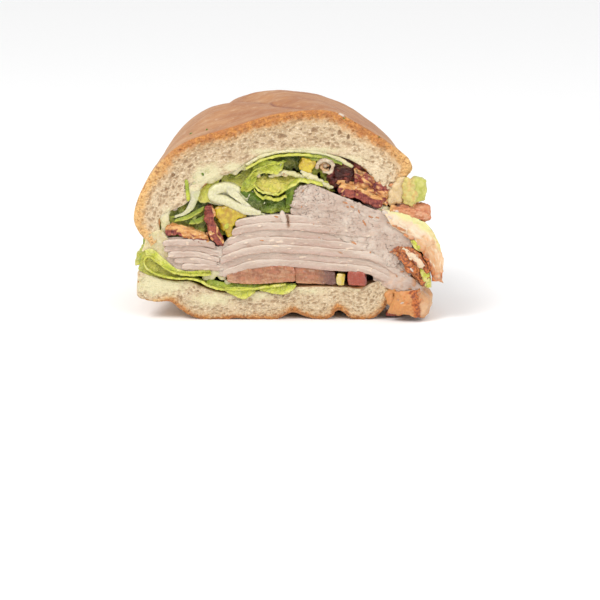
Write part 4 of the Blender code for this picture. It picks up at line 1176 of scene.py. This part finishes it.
def sheetFace(name, finish):
    look = sheets[name]
    lower, upper = np.array(look["lower"]), np.array(look["upper"])
    wide = np.linalg.norm(np.diff(lower, axis=0), axis=1).sum() + 2.0
    tall = np.linalg.norm(upper[1] - lower[1]) + 2.0
    step = 0.3    # between its points
    bm = bmesh.new()
    bmesh.ops.create_grid(bm, x_segments=int(max(wide / step, 10)), y_segments=int(max(tall / step, 8)),
                          size=0.5)
    along, up = (np.array([v.co[:2] for v in bm.verts]) + 0.5).T
    points = smoothLine(lower, along)
    points += (smoothLine(upper, along) - points) * up[:, None]
    _, y, z = points.T
    seed = len(name) + lower[0, 0]
    free = bell(up, 0.0, 0.35)
    wave = look["crumple"] * grain(points * (1.0, 0.3, 1.0), (2.6, 2.6, 3.6), seed=seed)
    wave += 0.35 * look["crumple"] * grain(points, 1.2, seed=seed + 1)
    y += wave * (1.0 + free)
    lengthwise = points * (0, 1, 0)
    ruffle = grain(lengthwise, 3.0, seed=seed) + 0.5 * grain(lengthwise, 1.3, seed=seed + 1)
    z += look.get("ruffle", 0.0) * bell(up, 0.0, 0.6) * ruffle
    z += 0.5 * look["crumple"] * free * grain(points * (1, 0, 0), 1.3, seed=seed + 2, octaves=2)
    pits = look.get("pitted", 0.0) * meatPits(points, 0.15)
    y += pits
    moveTo(bm.verts, points)

    lines = np.stack([along * wide / 5.0, up * tall / 0.9, 0.0 * up], axis=1)
    masks = {"stripe": grain(lines, 1.0, seed=seed + 4, octaves=3), "pit": pits}
    patchy = grain(points, 3.0, seed=seed + 3, octaves=2)
    for mark, (middle, varies, rim, *more) in look["marks"].items():
        slope, height, far = (*more, 0.0, 0.0, 0.0)[:3]
        masks[mark] = middle + varies * patchy + rim * free
        masks[mark] += slope * (z - height) + far * bell(up, 1.0, 0.35)
    markVerts(bm, masks)
    bmesh.ops.recalc_face_normals(bm, faces=bm.faces[:])
    bmesh.ops.solidify(bm, geom=bm.faces[:], thickness=look.get("thick", 0.4) * mm)
    return newPiece(name, meshOf(name, bm), finish)


# The folded rib of a romaine leaf, waxy white with green at its edges.
def romaineRib(finish):
    def shape(points, normals, front):
        x, y, z = points.T
        near = sliceFront(points, front)
        ridge = 0.12 * grain(points, (2.6, 8.0, 2.6), seed=51) + 0.02 * grain(points, 0.8, seed=52)
        points += normals * (ridge + 0.75)[:, None]
        z -= 0.4
        y += near * 0.15 * grain(points, 1.2, seed=53, octaves=2)
        points -= normals * rise(x, -15.0, 4.0)[:, None]
        z -= 1.5 * rise(z, 46.0, -1.0) * rise(x, -24.0, 8.0)    # its lower arm hangs
        green = rise(1.5 * grain(points, 2.0, seed=54) - x, 24.0, 5.0) * rise(z, 45.5, 3.0)
        return {"green": 0.6 * np.maximum(green, 0.75 * rise(x, -13.5, 4.0))}

    return dressed("romaine_rib", "_stalk", finish, 2, shape)


def ribFinish():
    f = Finish("romaine_rib", Roughness=0.3, Subsurface_Weight=0.5, Subsurface_Scale=0.003,
               Subsurface_Radius=(0.9, 1.0, 0.5), Coat_Weight=0.2, Coat_Roughness=0.15)
    grainy = f.noise((0.7, 3.0, 0.7), 4)
    f.body = f.blend(grainy, 0.35, 0.65, (0.50, 0.465, 0.27), (0.60, 0.56, 0.37))
    f.coat((0.38, 0.42, 0.14), 0.6, f.mask("green") + 0.3 * (grainy - 0.5), 0.2, 0.9)
    return f.done(grainy, 0.12)


# Tomato: wet flesh with paler walls. Each slice is dark from a place on, over a width; its right end
# reaches further out and slumps.
tomatoes = {
    "tomato_left": {"dark": (40.0, 2.0), "red": 0.12, "reach": 1.2, "slump": 0.9},
    "tomato_right": {"dark": (9.0, 5.0), "red": 0.15, "reach": 0.6, "slump": 0.9},
    "tomato_end": {"dark": (26.5, 1.0), "red": 0.95, "reach": 0.5},
    "tomato_slip": {"dark": (60.0, 1.0), "red": 1.0, "reach": 0.0},
}


def tomatoSlice(node, finish):
    look = tomatoes[node]
    low, high = (toCut(corner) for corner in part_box(node))

    def shape(points, normals, front):
        x, y, z = points.T
        upward = np.clip(normals[:, 2], 0.0, 1.0)
        near = sliceFront(points, front)
        points += normals * (0.12 * grain(points, 1.5, seed=61, octaves=2) + 0.1)[:, None]
        flesh = grain(points, (1.4, 2.0, 0.7), seed=62, octaves=3)
        y += near * (0.2 * flesh + 0.2)
        soft = 0.45 * grain(points * (1, 0, 0), 3.4, seed=63, octaves=2) + 0.8
        z += soft * upward * (z > 8.0)
        z -= look.get("slump", 0.0) * rise(x, high[0] - 3.5, 3.5) * upward
        x += 0.5 * near * grain(points * (0, 0, 1), 1.8, seed=64)
        x += look["reach"] * rise(x, high[0] - 3.0, 3.0)
        np.maximum(z, 0.1, out=z)
        dark = rise(x + 0.6 * flesh, *look["dark"])
        skin = rise(1.5 * (z - high[2] + 0.6 + 0.5 * flesh))
        pale = rise(1.2 * flesh - z, -3.2 - low[2], 2.6) * (1.0 - dark)
        return {"dark": dark, "red": look["red"] + 0.35 * flesh, "skin": skin * near, "low": pale}

    across = np.arange(low[0] + 1.0, high[0] - 0.5, 1.6)
    return dressed(node, "_flesh", finish, 3, shape, rows=(0.4, 1.3, 3.0), cuts=across, crisp=0.6)


def tomatoFinish():
    f = Finish("tomato", Roughness=0.2, Subsurface_Weight=0.25, Subsurface_Scale=0.003,
               Subsurface_Radius=(1.0, 0.35, 0.2), Coat_Weight=0.45, Coat_Roughness=0.08)
    broad = f.noise((2.5, 3.0, 1.6))
    fine = f.noise((0.5, 1.0, 0.9), 4)
    threads = f.noise((1.1, 2.0, 3.4))
    wet = f.noise((4.5, 4.0, 1.4), 2)
    f.body = f.blend(broad, 0.35, 0.65, (0.23, 0.078, 0.030), (0.32, 0.13, 0.052))
    f.coat((0.54, 0.29, 0.15), 0.55, f.mask("low"))
    f.coat((0.56, 0.28, 0.15), 0.32, threads, 0.5, 0.72)
    f.coat((0.46, 0.15, 0.075), 0.4, wet, 0.5, 0.64)
    f.coat((0.58, 0.34, 0.20), 0.3, wet, 0.46, 0.34)
    f.coat((0.58, 0.34, 0.20), 0.22, fine, 0.55, 0.75)
    f.coat((0.28, 0.034, 0.013), 0.92, f.mask("red") + 0.3 * (broad - 0.5), 0.3, 0.9)
    f.coat((0.34, 0.065, 0.028), 0.5, f.mask("skin"))
    f.coat((0.10, 0.035, 0.03), 0.8, f.mask("dark"))
    return f.done(fine + 0.5 * threads, 0.15, 0.12 + 0.25 * fine)


# Pickled yellow pepper and avocado, cut small. Rounded ones are drawn in at their corners, then grown
# and shifted, each as (across, up).
dices = {
    "pepper_strip": {"suffix": "_pickle", "slot": "yellow_pepper", "lump": 0.25, "brown": 0.25},
    "pepper_cube": {"suffix": "_pickle", "slot": "yellow_pepper", "lump": 0.45, "brown": -0.4,
                    "rounded": 0.9, "grow": (1.22, 1.12), "shift": (-0.2, -0.3)},
    "pickle_cube": {"suffix": "_pickle", "slot": "yellow_pepper", "lump": 0.35, "brown": 0.35,
                    "rounded": 0.4},
    "avocado_cube": {"suffix": "_flesh", "slot": "avocado", "lump": 0.5, "brown": 0.0,
                     "rounded": 0.6, "grow": (0.92, 1.02), "shift": (0.1, 0.3)},
}


def diced(node, finish):
    look = dices[node]

    def shape(points, normals, front):
        if "rounded" in look:
            flat = points[:, (0, 2)]
            low, high = flat.min(axis=0), flat.max(axis=0)
            middle = (low + high) / 2.0
            away = (flat - middle) / ((high - low) / 2.0)
            squareness = np.abs(away).max(axis=1) / np.maximum(np.hypot(*away.T), 0.001)
            pulled = (1.0 + look["rounded"] * (squareness - 1.0))[:, None] * look.get("grow", 1.0)
            points[:, (0, 2)] = middle + look.get("shift", 0.0) + (flat - middle) * pulled
        uneven = look["lump"] * grain(points, 2.4, seed=71, octaves=2) + 0.06 * grain(points, 0.7, seed=72)
        points += normals * uneven[:, None]
        patch = grain(points, 2.0, seed=73, octaves=2)
        return {"brown": rise(look["brown"] + 0.9 * patch, 0.1),
                "mashed": rise(2.2 * patch - points[:, 0], -45.4, 2.5),
                "pale": (node == "pickle_cube") * rise(0.6 + patch)}

    return dressed(node, look["suffix"], finish, 3, shape, rows=())


def pepperFinish():
    f = Finish("yellow_pepper", Roughness=0.18, Subsurface_Weight=0.35, Subsurface_Scale=0.003,
               Subsurface_Radius=(1.0, 0.8, 0.15), Coat_Weight=0.3, Coat_Roughness=0.1)
    fine = f.noise(0.5)
    f.body = f.blend(f.noise(2.0), 0.35, 0.65, (0.37, 0.235, 0.011), (0.54, 0.41, 0.022))
    f.coat((0.36, 0.17, 0.018), 0.6, f.mask("brown"), 0.2, 0.9)
    f.coat((0.64, 0.52, 0.18), 0.4, fine, 0.6, 0.8)
    f.coat((0.62, 0.50, 0.24), 0.8, f.mask("pale"))
    return f.done(fine, 0.12)


def avocadoFinish():
    f = Finish("avocado", Roughness=0.35, Subsurface_Weight=0.3, Subsurface_Scale=0.003,
               Subsurface_Radius=(0.9, 1.0, 0.3))
    broad = f.noise(2.0)
    fine = f.noise(0.5)
    f.body = f.blend(broad, 0.35, 0.65, (0.35, 0.35, 0.06), (0.47, 0.45, 0.12))
    f.coat((0.54, 0.43, 0.15), 0.75, f.mask("mashed"))
    f.coat((0.52, 0.29, 0.085), 0.6, f.mask("mashed") * f.between(broad, 0.5, 0.62))
    f.coat((0.60, 0.55, 0.27), 0.4, fine, 0.6, 0.8)
    return f.done(fine, 0.2)


def beads(guides, count, radius):  # lumps in a row along guide points
    return [(*place, radius) for place in smoothLine(guides, np.linspace(0.0, 1.0, count)).tolist()]


# Sauce, mash and soft ends: lumps that run together, as (x, y, z, radius), each stretched by size.
smears = {
    "sauce_left": {
        "size": (1, 0.3, 1), "lump": 0.12,
        "lumps": [(-29.5, 1.3, 54.5, 3.6), (-26.5, 1.3, 53.2, 3), (-32.5, 1.2, 52, 3.4),
                  (-28.5, 1.2, 52, 2.8), (-33.5, 1.3, 48.6, 2.4), (-35.5, 1.4, 50, 2.4)]},
    "sauce_ceiling": {
        "size": (1.2, 0.5, 0.9), "lump": 0.2,
        "lumps": [(-23, 1.8, 53.8, 1.7), (-21, 1.7, 55, 1.9), (-18.8, 1.7, 55.2, 1.8),
                  (-17, 1.6, 56.6, 1.6), (-15, 1.7, 57.8, 1.5), (-19.8, 2, 53.6, 1.4),
                  (-13.2, 1.9, 58.8, 1.2), (-16.2, 2, 55.2, 1.4)]},
    "sauce_middle": {
        "size": (1.4, 0.7, 0.7), "lump": 0.2,
        "lumps": [(-4.6, 1.4, 52.8, 1.4), (-2.2, 1.4, 53.4, 1.6), (0.4, 1.2, 53.2, 1.5),
                  (2.6, 1.2, 52.4, 1.3), (-6.6, 1.8, 52, 1), (4.4, 1.4, 51.8, 1.1)]},
    "sauce_right": {
        "size": (1.5, 0.6, 0.8), "lump": 0.2,
        "lumps": [(6.2, 0.6, 52.8, 1.3), (8, 0.6, 51.6, 1.5), (10.2, 0.8, 50.4, 1.3),
                  (12.4, 0.9, 49.2, 1.2), (14.4, 0.8, 48.2, 1), (5, 0.8, 53.8, 1)]},
    "sauce_slope": {
        "size": (1.5, 0.6, 0.75), "lump": 0.2,
        "lumps": [(30, -0.2, 39.4, 1), (33.6, 0.3, 40.6, 1.6), (36.2, 0.3, 39.8, 1.6), (41, 0.2, 38, 1.5),
                  (44.4, 0.2, 36.6, 1.5), (32.5, -0.3, 39.6, 1.3), (35, -0.4, 38.6, 1.5),
                  (37.6, -0.6, 37.6, 1.5), (40.2, -0.8, 36.9, 1.4), (42.6, -1, 36, 1.3)]},
    "sauce_wall": {
        "size": (1, 0.5, 1.3), "lump": 0.15,
        "lumps": [(-45, 1.4, 37, 1.9), (-44.6, 1.5, 34.4, 1.8), (-45.2, 1.5, 31.6, 1.6),
                  (-44.8, 1.5, 29.2, 1.4), (-44.2, 1.5, 39.4, 1.5), (-46.6, 1.8, 27.4, 1.3)]},
    "avocado_mash": {
        "slot": "avocado", "size": (1, 0.9, 0.9), "lump": 0.3,
        "lumps": [(42, -1.6, 46.4, 1.9), (42.6, -2, 45, 1.8), (44.2, -2.4, 44.2, 1.7),
                  (41.2, -0.8, 47.8, 1.4), (42.8, -1.8, 48.2, 1.9), (41, -1, 45, 1.2),
                  (42.8, -1.6, 50, 1.6), (43.6, -2, 51, 1.1), (44.6, -2.2, 46.4, 2),
                  (41.4, -1, 49.4, 1.5), (41.8, -1.4, 51.2, 1.2), (43.6, -2, 42.6, 1.2),
                  (41.6, -1.2, 43.2, 1.3), (44.4, -2.2, 49, 1.5)]},
    "crumbs_right": {
        "size": (1, 0.7, 1), "lump": 0.3, "tan": 0.9,
        "lumps": [(39.8, 0.2, 50.4, 1.9), (38.4, 0.3, 48.2, 2.3), (37.2, 0.4, 45.8, 2.3),
                  (39, 0, 44.2, 1.9), (36.4, 0.3, 43.4, 1.8), (40.8, -0.2, 51, 1.3),
                  (40, -0.2, 46.6, 1.9)]},
    "tail_side": {
        "slot": "roast_turkey", "size": (1, 0.8, 1.1), "lump": 0.25,
        "lumps": [(35.4, 0.2, 9, 1.6), (36.6, -0.4, 7.2, 1.9), (37.8, -1, 5.4, 1.8), (36.8, 0, 10.8, 1.6),
                  (39.4, -1.6, 3.6, 1.7)]},
    "bacon_tip_end": {
        "slot": "bacon", "size": (1, 0.7, 0.9), "lump": 0.35,
        "lumps": [(42.4, -0.2, 41, 1.7), (44.2, -0.4, 40.8, 2), (46, -0.6, 40.6, 2.4),
                  (47.4, -0.6, 40.9, 2.2), (48.7, -0.6, 41.2, 1.7), (48.8, -0.6, 39.4, 1.9),
                  (49, -0.4, 37.6, 1.6), (47.2, -0.6, 38.8, 2.2), (48, -0.4, 37, 1.5),
                  (40.6, -0.1, 41, 1.5)]},
    "bacon_lobe": {
        "slot": "bacon", "size": (0.8, 0.7, 1.2), "lump": 0.35, "fresh": 0, "fat": 0.15,
        "lumps": [(-26.8, 0.5, 33.6, 1.2), (-26.2, 0.4, 31.8, 1.4), (-25.3, 0.3, 30.2, 1.5),
                  (-24.6, 0.4, 28.6, 1.3), (-24.3, 0.6, 27.2, 0.9)]},
    "sauce_roof": {
        "size": (1.5, 0.8, 0.8), "lump": 0.25,
        "lumps": beads([(-15, 0.9, 56.5), (-10, 0.7, 59.4), (-4, 0.7, 60.9), (2.4, 0.7, 61.3),
                        (8.8, 0.7, 60.8), (14, 0.8, 59.6), (18, 1, 58.2), (21.6, 1.3, 55.8)], 34, 0.8)},
    "curl_fat": {
        "slot": "bacon", "size": (1, 0.7, 1), "lump": 0.5, "fresh": 0, "fat": 0.2, "pale": 0.85,
        "lumps": beads([(9.6, 0.4, 55.4), (10.2, 0.3, 57.2), (12.2, 0.2, 58.2), (14.4, 0.4, 57.6),
                        (15.4, 0.5, 56.2)], 14, 0.85)
               + [(14.6, 0.4, 54.2, 0.9), (13.6, 0.5, 53.4, 0.9), (15.2, 0.6, 55.2, 0.7),
                  (12.6, 0.4, 56, 0.7), (12.2, 0.6, 53.6, 0.6)]},
    "sauce_cup": {
        "size": (1, 0.5, 1), "lump": 0.25, "tan": 0.75,
        "lumps": [(-11.4, 1.6, 52.4, 1.1), (-2.6, 0.9, 53, 1), (-1.4, 0.9, 52.6, 0.9),
                  (-3.6, 1, 53.4, 0.8)]},
    "sauce_low": {
        "size": (1.1, 0.5, 0.9), "lump": 0.2,
        "lumps": [(-26.6, 1, 17.4, 2.1), (-25.6, 1, 19.4, 1.5), (-28.2, 1.2, 15.8, 1.6),
                  (-30.4, 1.4, 15.2, 1.3), (-24.4, 1.2, 15.6, 1.5), (-22.4, 1.4, 13.6, 1.2)]},
    "pepper_flesh": {
        "slot": "yellow_pepper", "size": (1, 0.45, 1), "lump": 0.05,
        "lumps": [(-25, 0.3, 39.2, 2.5), (-22.4, 0.2, 39.4, 2.7), (-19.8, 0.3, 38.8, 2.4),
                  (-17.8, 0.6, 38.4, 1.6), (-16.4, 0.8, 38, 1.1), (-21, 0.3, 37.2, 2.3),
                  (-23.6, 0.4, 36.8, 2.3), (-22.4, 0.4, 35, 2), (-20.6, 0.5, 35.6, 1.6),
                  (-22, 0.6, 33, 1.7), (-21.6, 0.7, 31.2, 1.4)]},
}


def smear(name, finish):
    look = smears[name]
    slotName = look.get("slot", "roll")
    bm = bmesh.new()
    for x, y, z, radius in look["lumps"]:
        made = bmesh.ops.create_icosphere(bm, subdivisions=3, radius=radius * mm)["verts"]
        bmesh.ops.scale(bm, verts=made, vec=Vector(look["size"]))
        bmesh.ops.translate(bm, verts=made, vec=Vector(toFrame((x, y, z))))
    mesh = modified(name, bm, [("REMESH", {"mode": "VOXEL", "voxel_size": 0.25 * mm}),
                               ("SMOOTH", {"factor": 0.5, "iterations": 12})])
    points, normals = readMesh(mesh)
    lumpy = look["lump"] * (grain(points, 1.8, seed=81) + 0.4 * grain(points, 0.7, seed=82, octaves=2))
    points += normals * lumpy[:, None]
    writeMesh(mesh, points, {
        "mashed": 1.0, "brown": 0.3 + grain(points, 1.5, seed=83, octaves=2), "pale": look.get("pale", 0.0),
        "tan": look.get("tan", float(slotName == "roast_turkey")), "fresh": look.get("fresh", 1.0),
        "fat": look.get("fat", 0.5) + 0.3 * grain(points, (2.0, 4.0, 1.4), seed=84)})
    return newPiece(name, mesh, finish)


def sauceFinish():
    f = Finish("sauce", Roughness=0.3, Subsurface_Weight=0.5, Subsurface_Scale=0.003,
               Subsurface_Radius=(1.0, 0.9, 0.5), Coat_Weight=0.15, Coat_Roughness=0.2)
    fine = f.noise(0.6, 4)
    f.body = f.blend(f.noise(3.0), 0.35, 0.65, (0.50, 0.45, 0.22), (0.60, 0.53, 0.32))
    f.coat((0.68, 0.64, 0.46), 0.4, fine, 0.5, 0.7)
    f.coat(f.mix(fine, (0.46, 0.27, 0.11), (0.64, 0.46, 0.25)), 0.8, f.mask("tan"))
    return f.done(fine, 0.2)


# Loose crumbs, shreds and specks on the cut, and pale flakes that are painted highlights, as pixels of the
# photograph: (across, down, half length, half width, turn).
flakes = {
    # Pale turkey shreds, and among them painted white highlights such as the one at (402, 300) on the tail.
    "shreds_pale": {
        "slot": "turkey", "marks": {"edge": 0.9},
        "spots": [(283, 216.8, 7.8, 3.5, -1.35), (268, 237.2, 2.4, 1, 0.1), (321.5, 240, 2.4, 0.9, 1.4),
                  (219, 250.5, 2.6, 1.2, 0.3), (221, 257, 2.8, 1.3, -0.2), (218.5, 263, 2.6, 1.2, 0.5),
                  (221.5, 269, 2.8, 1.4, 0.1), (355, 207, 1.8, 1.3, 0.2), (362.5, 214, 3.6, 1.5, -0.7),
                  (384.5, 212, 3.4, 2, -0.7), (404, 275.5, 2.4, 1.2, -0.4), (402, 300, 3, 0.9, 0.3),
                  (396, 210.5, 2.6, 1.5, 0), (341, 117, 4.2, 1.7, -0.4), (175.5, 210, 3.4, 2.4, 0.5),
                  (306, 205, 1.8, 1, -0.9), (374, 219, 3, 1.2, -0.5), (299.8, 187.5, 3.4, 1.1, 0.9),
                  (297.2, 194, 2.6, 1, 1.3), (294.6, 203.5, 3.2, 1.1, 1.2), (292.8, 211.5, 2.2, 0.9, 1.4),
                  (411, 268, 2.4, 1, -0.8), (389, 216, 2.6, 1.4, -0.4)]},
    "shreds_roasted": {
        "slot": "roast_turkey", "marks": {"browned": 0.55, "sauce": 0},
        "spots": [(276.5, 216.5, 2.6, 1, -0.3), (303, 191, 2.2, 0.8, 1.4), (301.5, 206.5, 1.5, 0.8, 1.2),
                  (262, 240.3, 2.8, 0.8, -0.1), (319, 237.5, 0.9, 0.7, 0), (354, 243, 4.2, 1.2, -0.5),
                  (370, 252, 1.2, 0.8, 1), (340, 252, 3.6, 0.6, -0.4), (329.5, 230.5, 0.9, 0.6, 0),
                  (313.5, 224, 0.8, 0.6, 0), (364, 222.5, 4.2, 1.1, -1), (370.5, 216.5, 3.4, 1, -0.4),
                  (388.6, 221.8, 3.4, 1.6, -0.3), (394, 224.5, 3.4, 1.3, -0.2),
                  (400, 227.5, 6.4, 1.8, -0.35), (406.5, 234.6, 5.6, 1.7, -0.45),
                  (394.5, 251.8, 2.6, 1.1, 0.2), (402, 271, 2.4, 0.9, 0.2),
                  (396.4, 275.5, 2.8, 0.8, -1.2), (409.5, 288, 2.8, 1, 0), (417.5, 291, 3, 1.8, 0.3),
                  (397.7, 297.3, 2.6, 1.2, -1), (284, 174.5, 1.8, 0.8, 0.2), (414, 250, 2, 0.9, -0.8),
                  (212.5, 238, 2.6, 1.8, -0.8), (208, 234, 2, 1.3, -0.6), (347, 206.5, 1.8, 0.7, -0.2),
                  (345, 202.5, 3.4, 1.2, -0.4), (352, 206.5, 3, 1, -0.5), (358.5, 211, 2.2, 0.9, -1.2),
                  (377, 217, 2.6, 0.9, -0.3), (391, 185.5, 2.8, 2, 0), (420, 203, 2.2, 1, 0),
                  (413, 204, 1.8, 1, 0)]},
    "shreds_green": {
        "slot": "lettuce", "marks": {"tone": 0.72, "yellow": 0.25},
        "spots": [(414.5, 242, 4, 1.9, -0.9), (418, 245.5, 2.4, 1.6, -1.1), (427.5, 274.5, 3.4, 2, 1.3),
                  (427.7, 284.5, 2.6, 1.8, 0), (227, 226, 3.2, 2.4, 1.2), (326, 183, 3.4, 1.6, -0.4)]},
    # painted highlights: pale flakes standing for glints on the glossy leaves
    "shreds_leaf": {
        "slot": "romaine_rib", "marks": {"green": 0.3},
        "spots": [(249.3, 196.8, 3, 0.9, 1.1), (246.8, 199.6, 2.4, 0.9, 0.6),
                  (252.8, 192.6, 1.8, 0.8, -0.8), (264.6, 203.5, 1.8, 0.7, 1.2),
                  (258.4, 176, 2.2, 1.5, 0.9), (281, 165, 2.4, 0.8, 1.4)]},
    "specks_green": {
        "slot": "lettuce", "marks": {"tone": 0.2, "yellow": 0},
        "spots": [(191, 139, 1.6, 0.9, 0.3), (207, 134.5, 1.9, 0.9, 1.4), (378, 138.5, 1.5, 0.7, 0.2),
                  (343.5, 120, 1.4, 0.8, 0.2), (203.5, 175, 1.2, 2, 0.3)]},
}


def frontAt(x, z, pieces):  # how far forward the dressed model reaches at a place on the cut
    start = Vector(toFrame((x, -20.0, z)))
    hits = []
    for piece in pieces:
        found, place, *_ = piece.ray_cast(start, Vector((0.0, 1.0, 0.0)))
        if found:
            hits.append(toCut(place)[1])
    return min(hits, default=0.0)


def scatteredFlakes(name, finish, pieces):
    look = flakes[name]
    bm = bmesh.new()
    for k, (across, down, long, wide, turn) in enumerate(look["spots"]):
        x, z = fromPhoto(across, down)
        made = bmesh.ops.create_icosphere(bm, subdivisions=3, radius=1.0)["verts"]
        shape = np.array([v.co[:] for v in made])
        bumps = 1.0 + 0.3 * grain(shape, 0.9, seed=91 + k) + 0.12 * grain(shape, 0.35, seed=92 + k)
        size = 0.85 + 0.25 * grain([(k * 3.7, 0.0, 0.0)], 1.0, seed=len(name))[0]
        shape = shape * bumps[:, None] * size * (photo["wide"] * long, 0.4, photo["wide"] * wide)
        right, back, up = shape.T
        c, s = math.cos(turn), math.sin(turn)
        turned = np.stack([right * c - up * s, back, right * s + up * c], axis=1)
        moveTo(made, turned + (x, frontAt(x, z, pieces) + 0.05, z))
    mesh = meshOf(name, bm)
    writeMasks(mesh, look["marks"])
    return newPiece(name, mesh, finish)


print("bread")
crumbLook, crustLook = crumbFinish(), crustFinish()
for label in breads:
    crustPiece(label, crustLook)
    crumbFace(label, crumbLook)

# The other finishes, by the slot that each goes into. Sauce goes into the roll's.
looks = {"turkey": turkeyFinish(), "roast_turkey": roastFinish(), "bacon": baconFinish(),
         "lettuce": lettuceFinish(), "romaine_rib": ribFinish(), "tomato": tomatoFinish(),
         "yellow_pepper": pepperFinish(), "avocado": avocadoFinish(), "roll": sauceFinish()}

print("turkey")
for node in sorted(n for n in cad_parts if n.startswith("turkey_") and n[-1].isdigit()):
    turkeySlice(node, looks["turkey"])
for node in looseTurkey:
    looseSlice(node, looks["roast_turkey"])

print("bacon")
for node in bacon:
    rasher(node, looks["bacon"])

print("lettuce")
for node in lettuce:
    leafStrip(node, looks["lettuce"])
romaineRib(looks["romaine_rib"])
for name, sheet in sheets.items():
    sheetFace(name, looks[sheet.get("slot", "lettuce")])

print("tomato, pepper and avocado")
for node in tomatoes:
    tomatoSlice(node, looks["tomato"])
for node, dice in dices.items():
    diced(node, looks[dice["slot"]])

print("sauce")
for name, look in smears.items():
    smear(name, looks[look.get("slot", "roll")])

print("shreds and specks")
bpy.context.view_layer.update()
dressedPieces = [piece for piece in scene.objects if piece.type == "MESH" and not piece.hide_render]
for name, look in flakes.items():
    scatteredFlakes(name, looks[look["slot"]], dressedPieces)

# Stage, light and camera.
studio = {
    "floorSize": 3.0,
    "paper": (0.93, 0.93, 0.93, 1.0),
    "sky": 0.95,
    # Each lamp's place in metres, its width and its power.
    "lamps": {"key": ((-0.45, -0.55, 0.75), 0.5, 5.0), "fill": ((0.5, -0.7, 0.35), 0.6, 2.4)},
    "lampAim": (0.0, 0.0, 0.03),
    "elevation": 11.0,     # the camera's, in degrees
    "distance": 1.0,
    "fieldWidth": 0.216,   # metres across the picture at that distance
    "sensor": 36.0,
    "aim": (3.6, 0.0, 7.3),
}


def softBox(name, place, size, power):
    light = bpy.data.lights.new(name, "AREA")
    light.shape = "DISK"
    light.size = size
    light.energy = power
    lamp = bpy.data.objects.new(name, light)
    scene.collection.objects.link(lamp)
    lamp.location = place
    lamp.rotation_euler = (Vector(studio["lampAim"]) - Vector(place)).to_track_quat("-Z", "Y").to_euler()


def makeStudio():
    bm = bmesh.new()
    bmesh.ops.create_grid(bm, x_segments=2, y_segments=2, size=studio["floorSize"])
    mesh = meshOf("floor", bm)
    floor = bpy.data.objects.new("floor", mesh)
    scene.collection.objects.link(floor)
    mesh.materials.append(Finish("floor_paper", Roughness=0.9, Base_Color=studio["paper"]).material)
    world = bpy.data.worlds.new("studio")
    scene.world = world
    world.use_nodes = True
    sky = world.node_tree.nodes["Background"].inputs
    sky["Color"].default_value = (1.0, 1.0, 1.0, 1.0)
    sky["Strength"].default_value = studio["sky"]
    for name, lamp in studio["lamps"].items():
        softBox(name, *lamp)
    scene.view_settings.view_transform = "Standard"


def makeCamera():
    tilt = math.radians(studio["elevation"])
    back = Vector((0.0, -math.cos(tilt), math.sin(tilt)))
    lens = bpy.data.cameras.new("camera")
    lens.sensor_width = studio["sensor"]
    lens.lens = studio["sensor"] * studio["distance"] / studio["fieldWidth"]
    camera = bpy.data.objects.new("camera", lens)
    scene.collection.objects.link(camera)
    camera.location = Vector(toFrame(studio["aim"])) + back * studio["distance"]
    camera.rotation_euler = (-back).to_track_quat("-Z", "Y").to_euler()
    scene.camera = camera


makeStudio()
makeCamera()
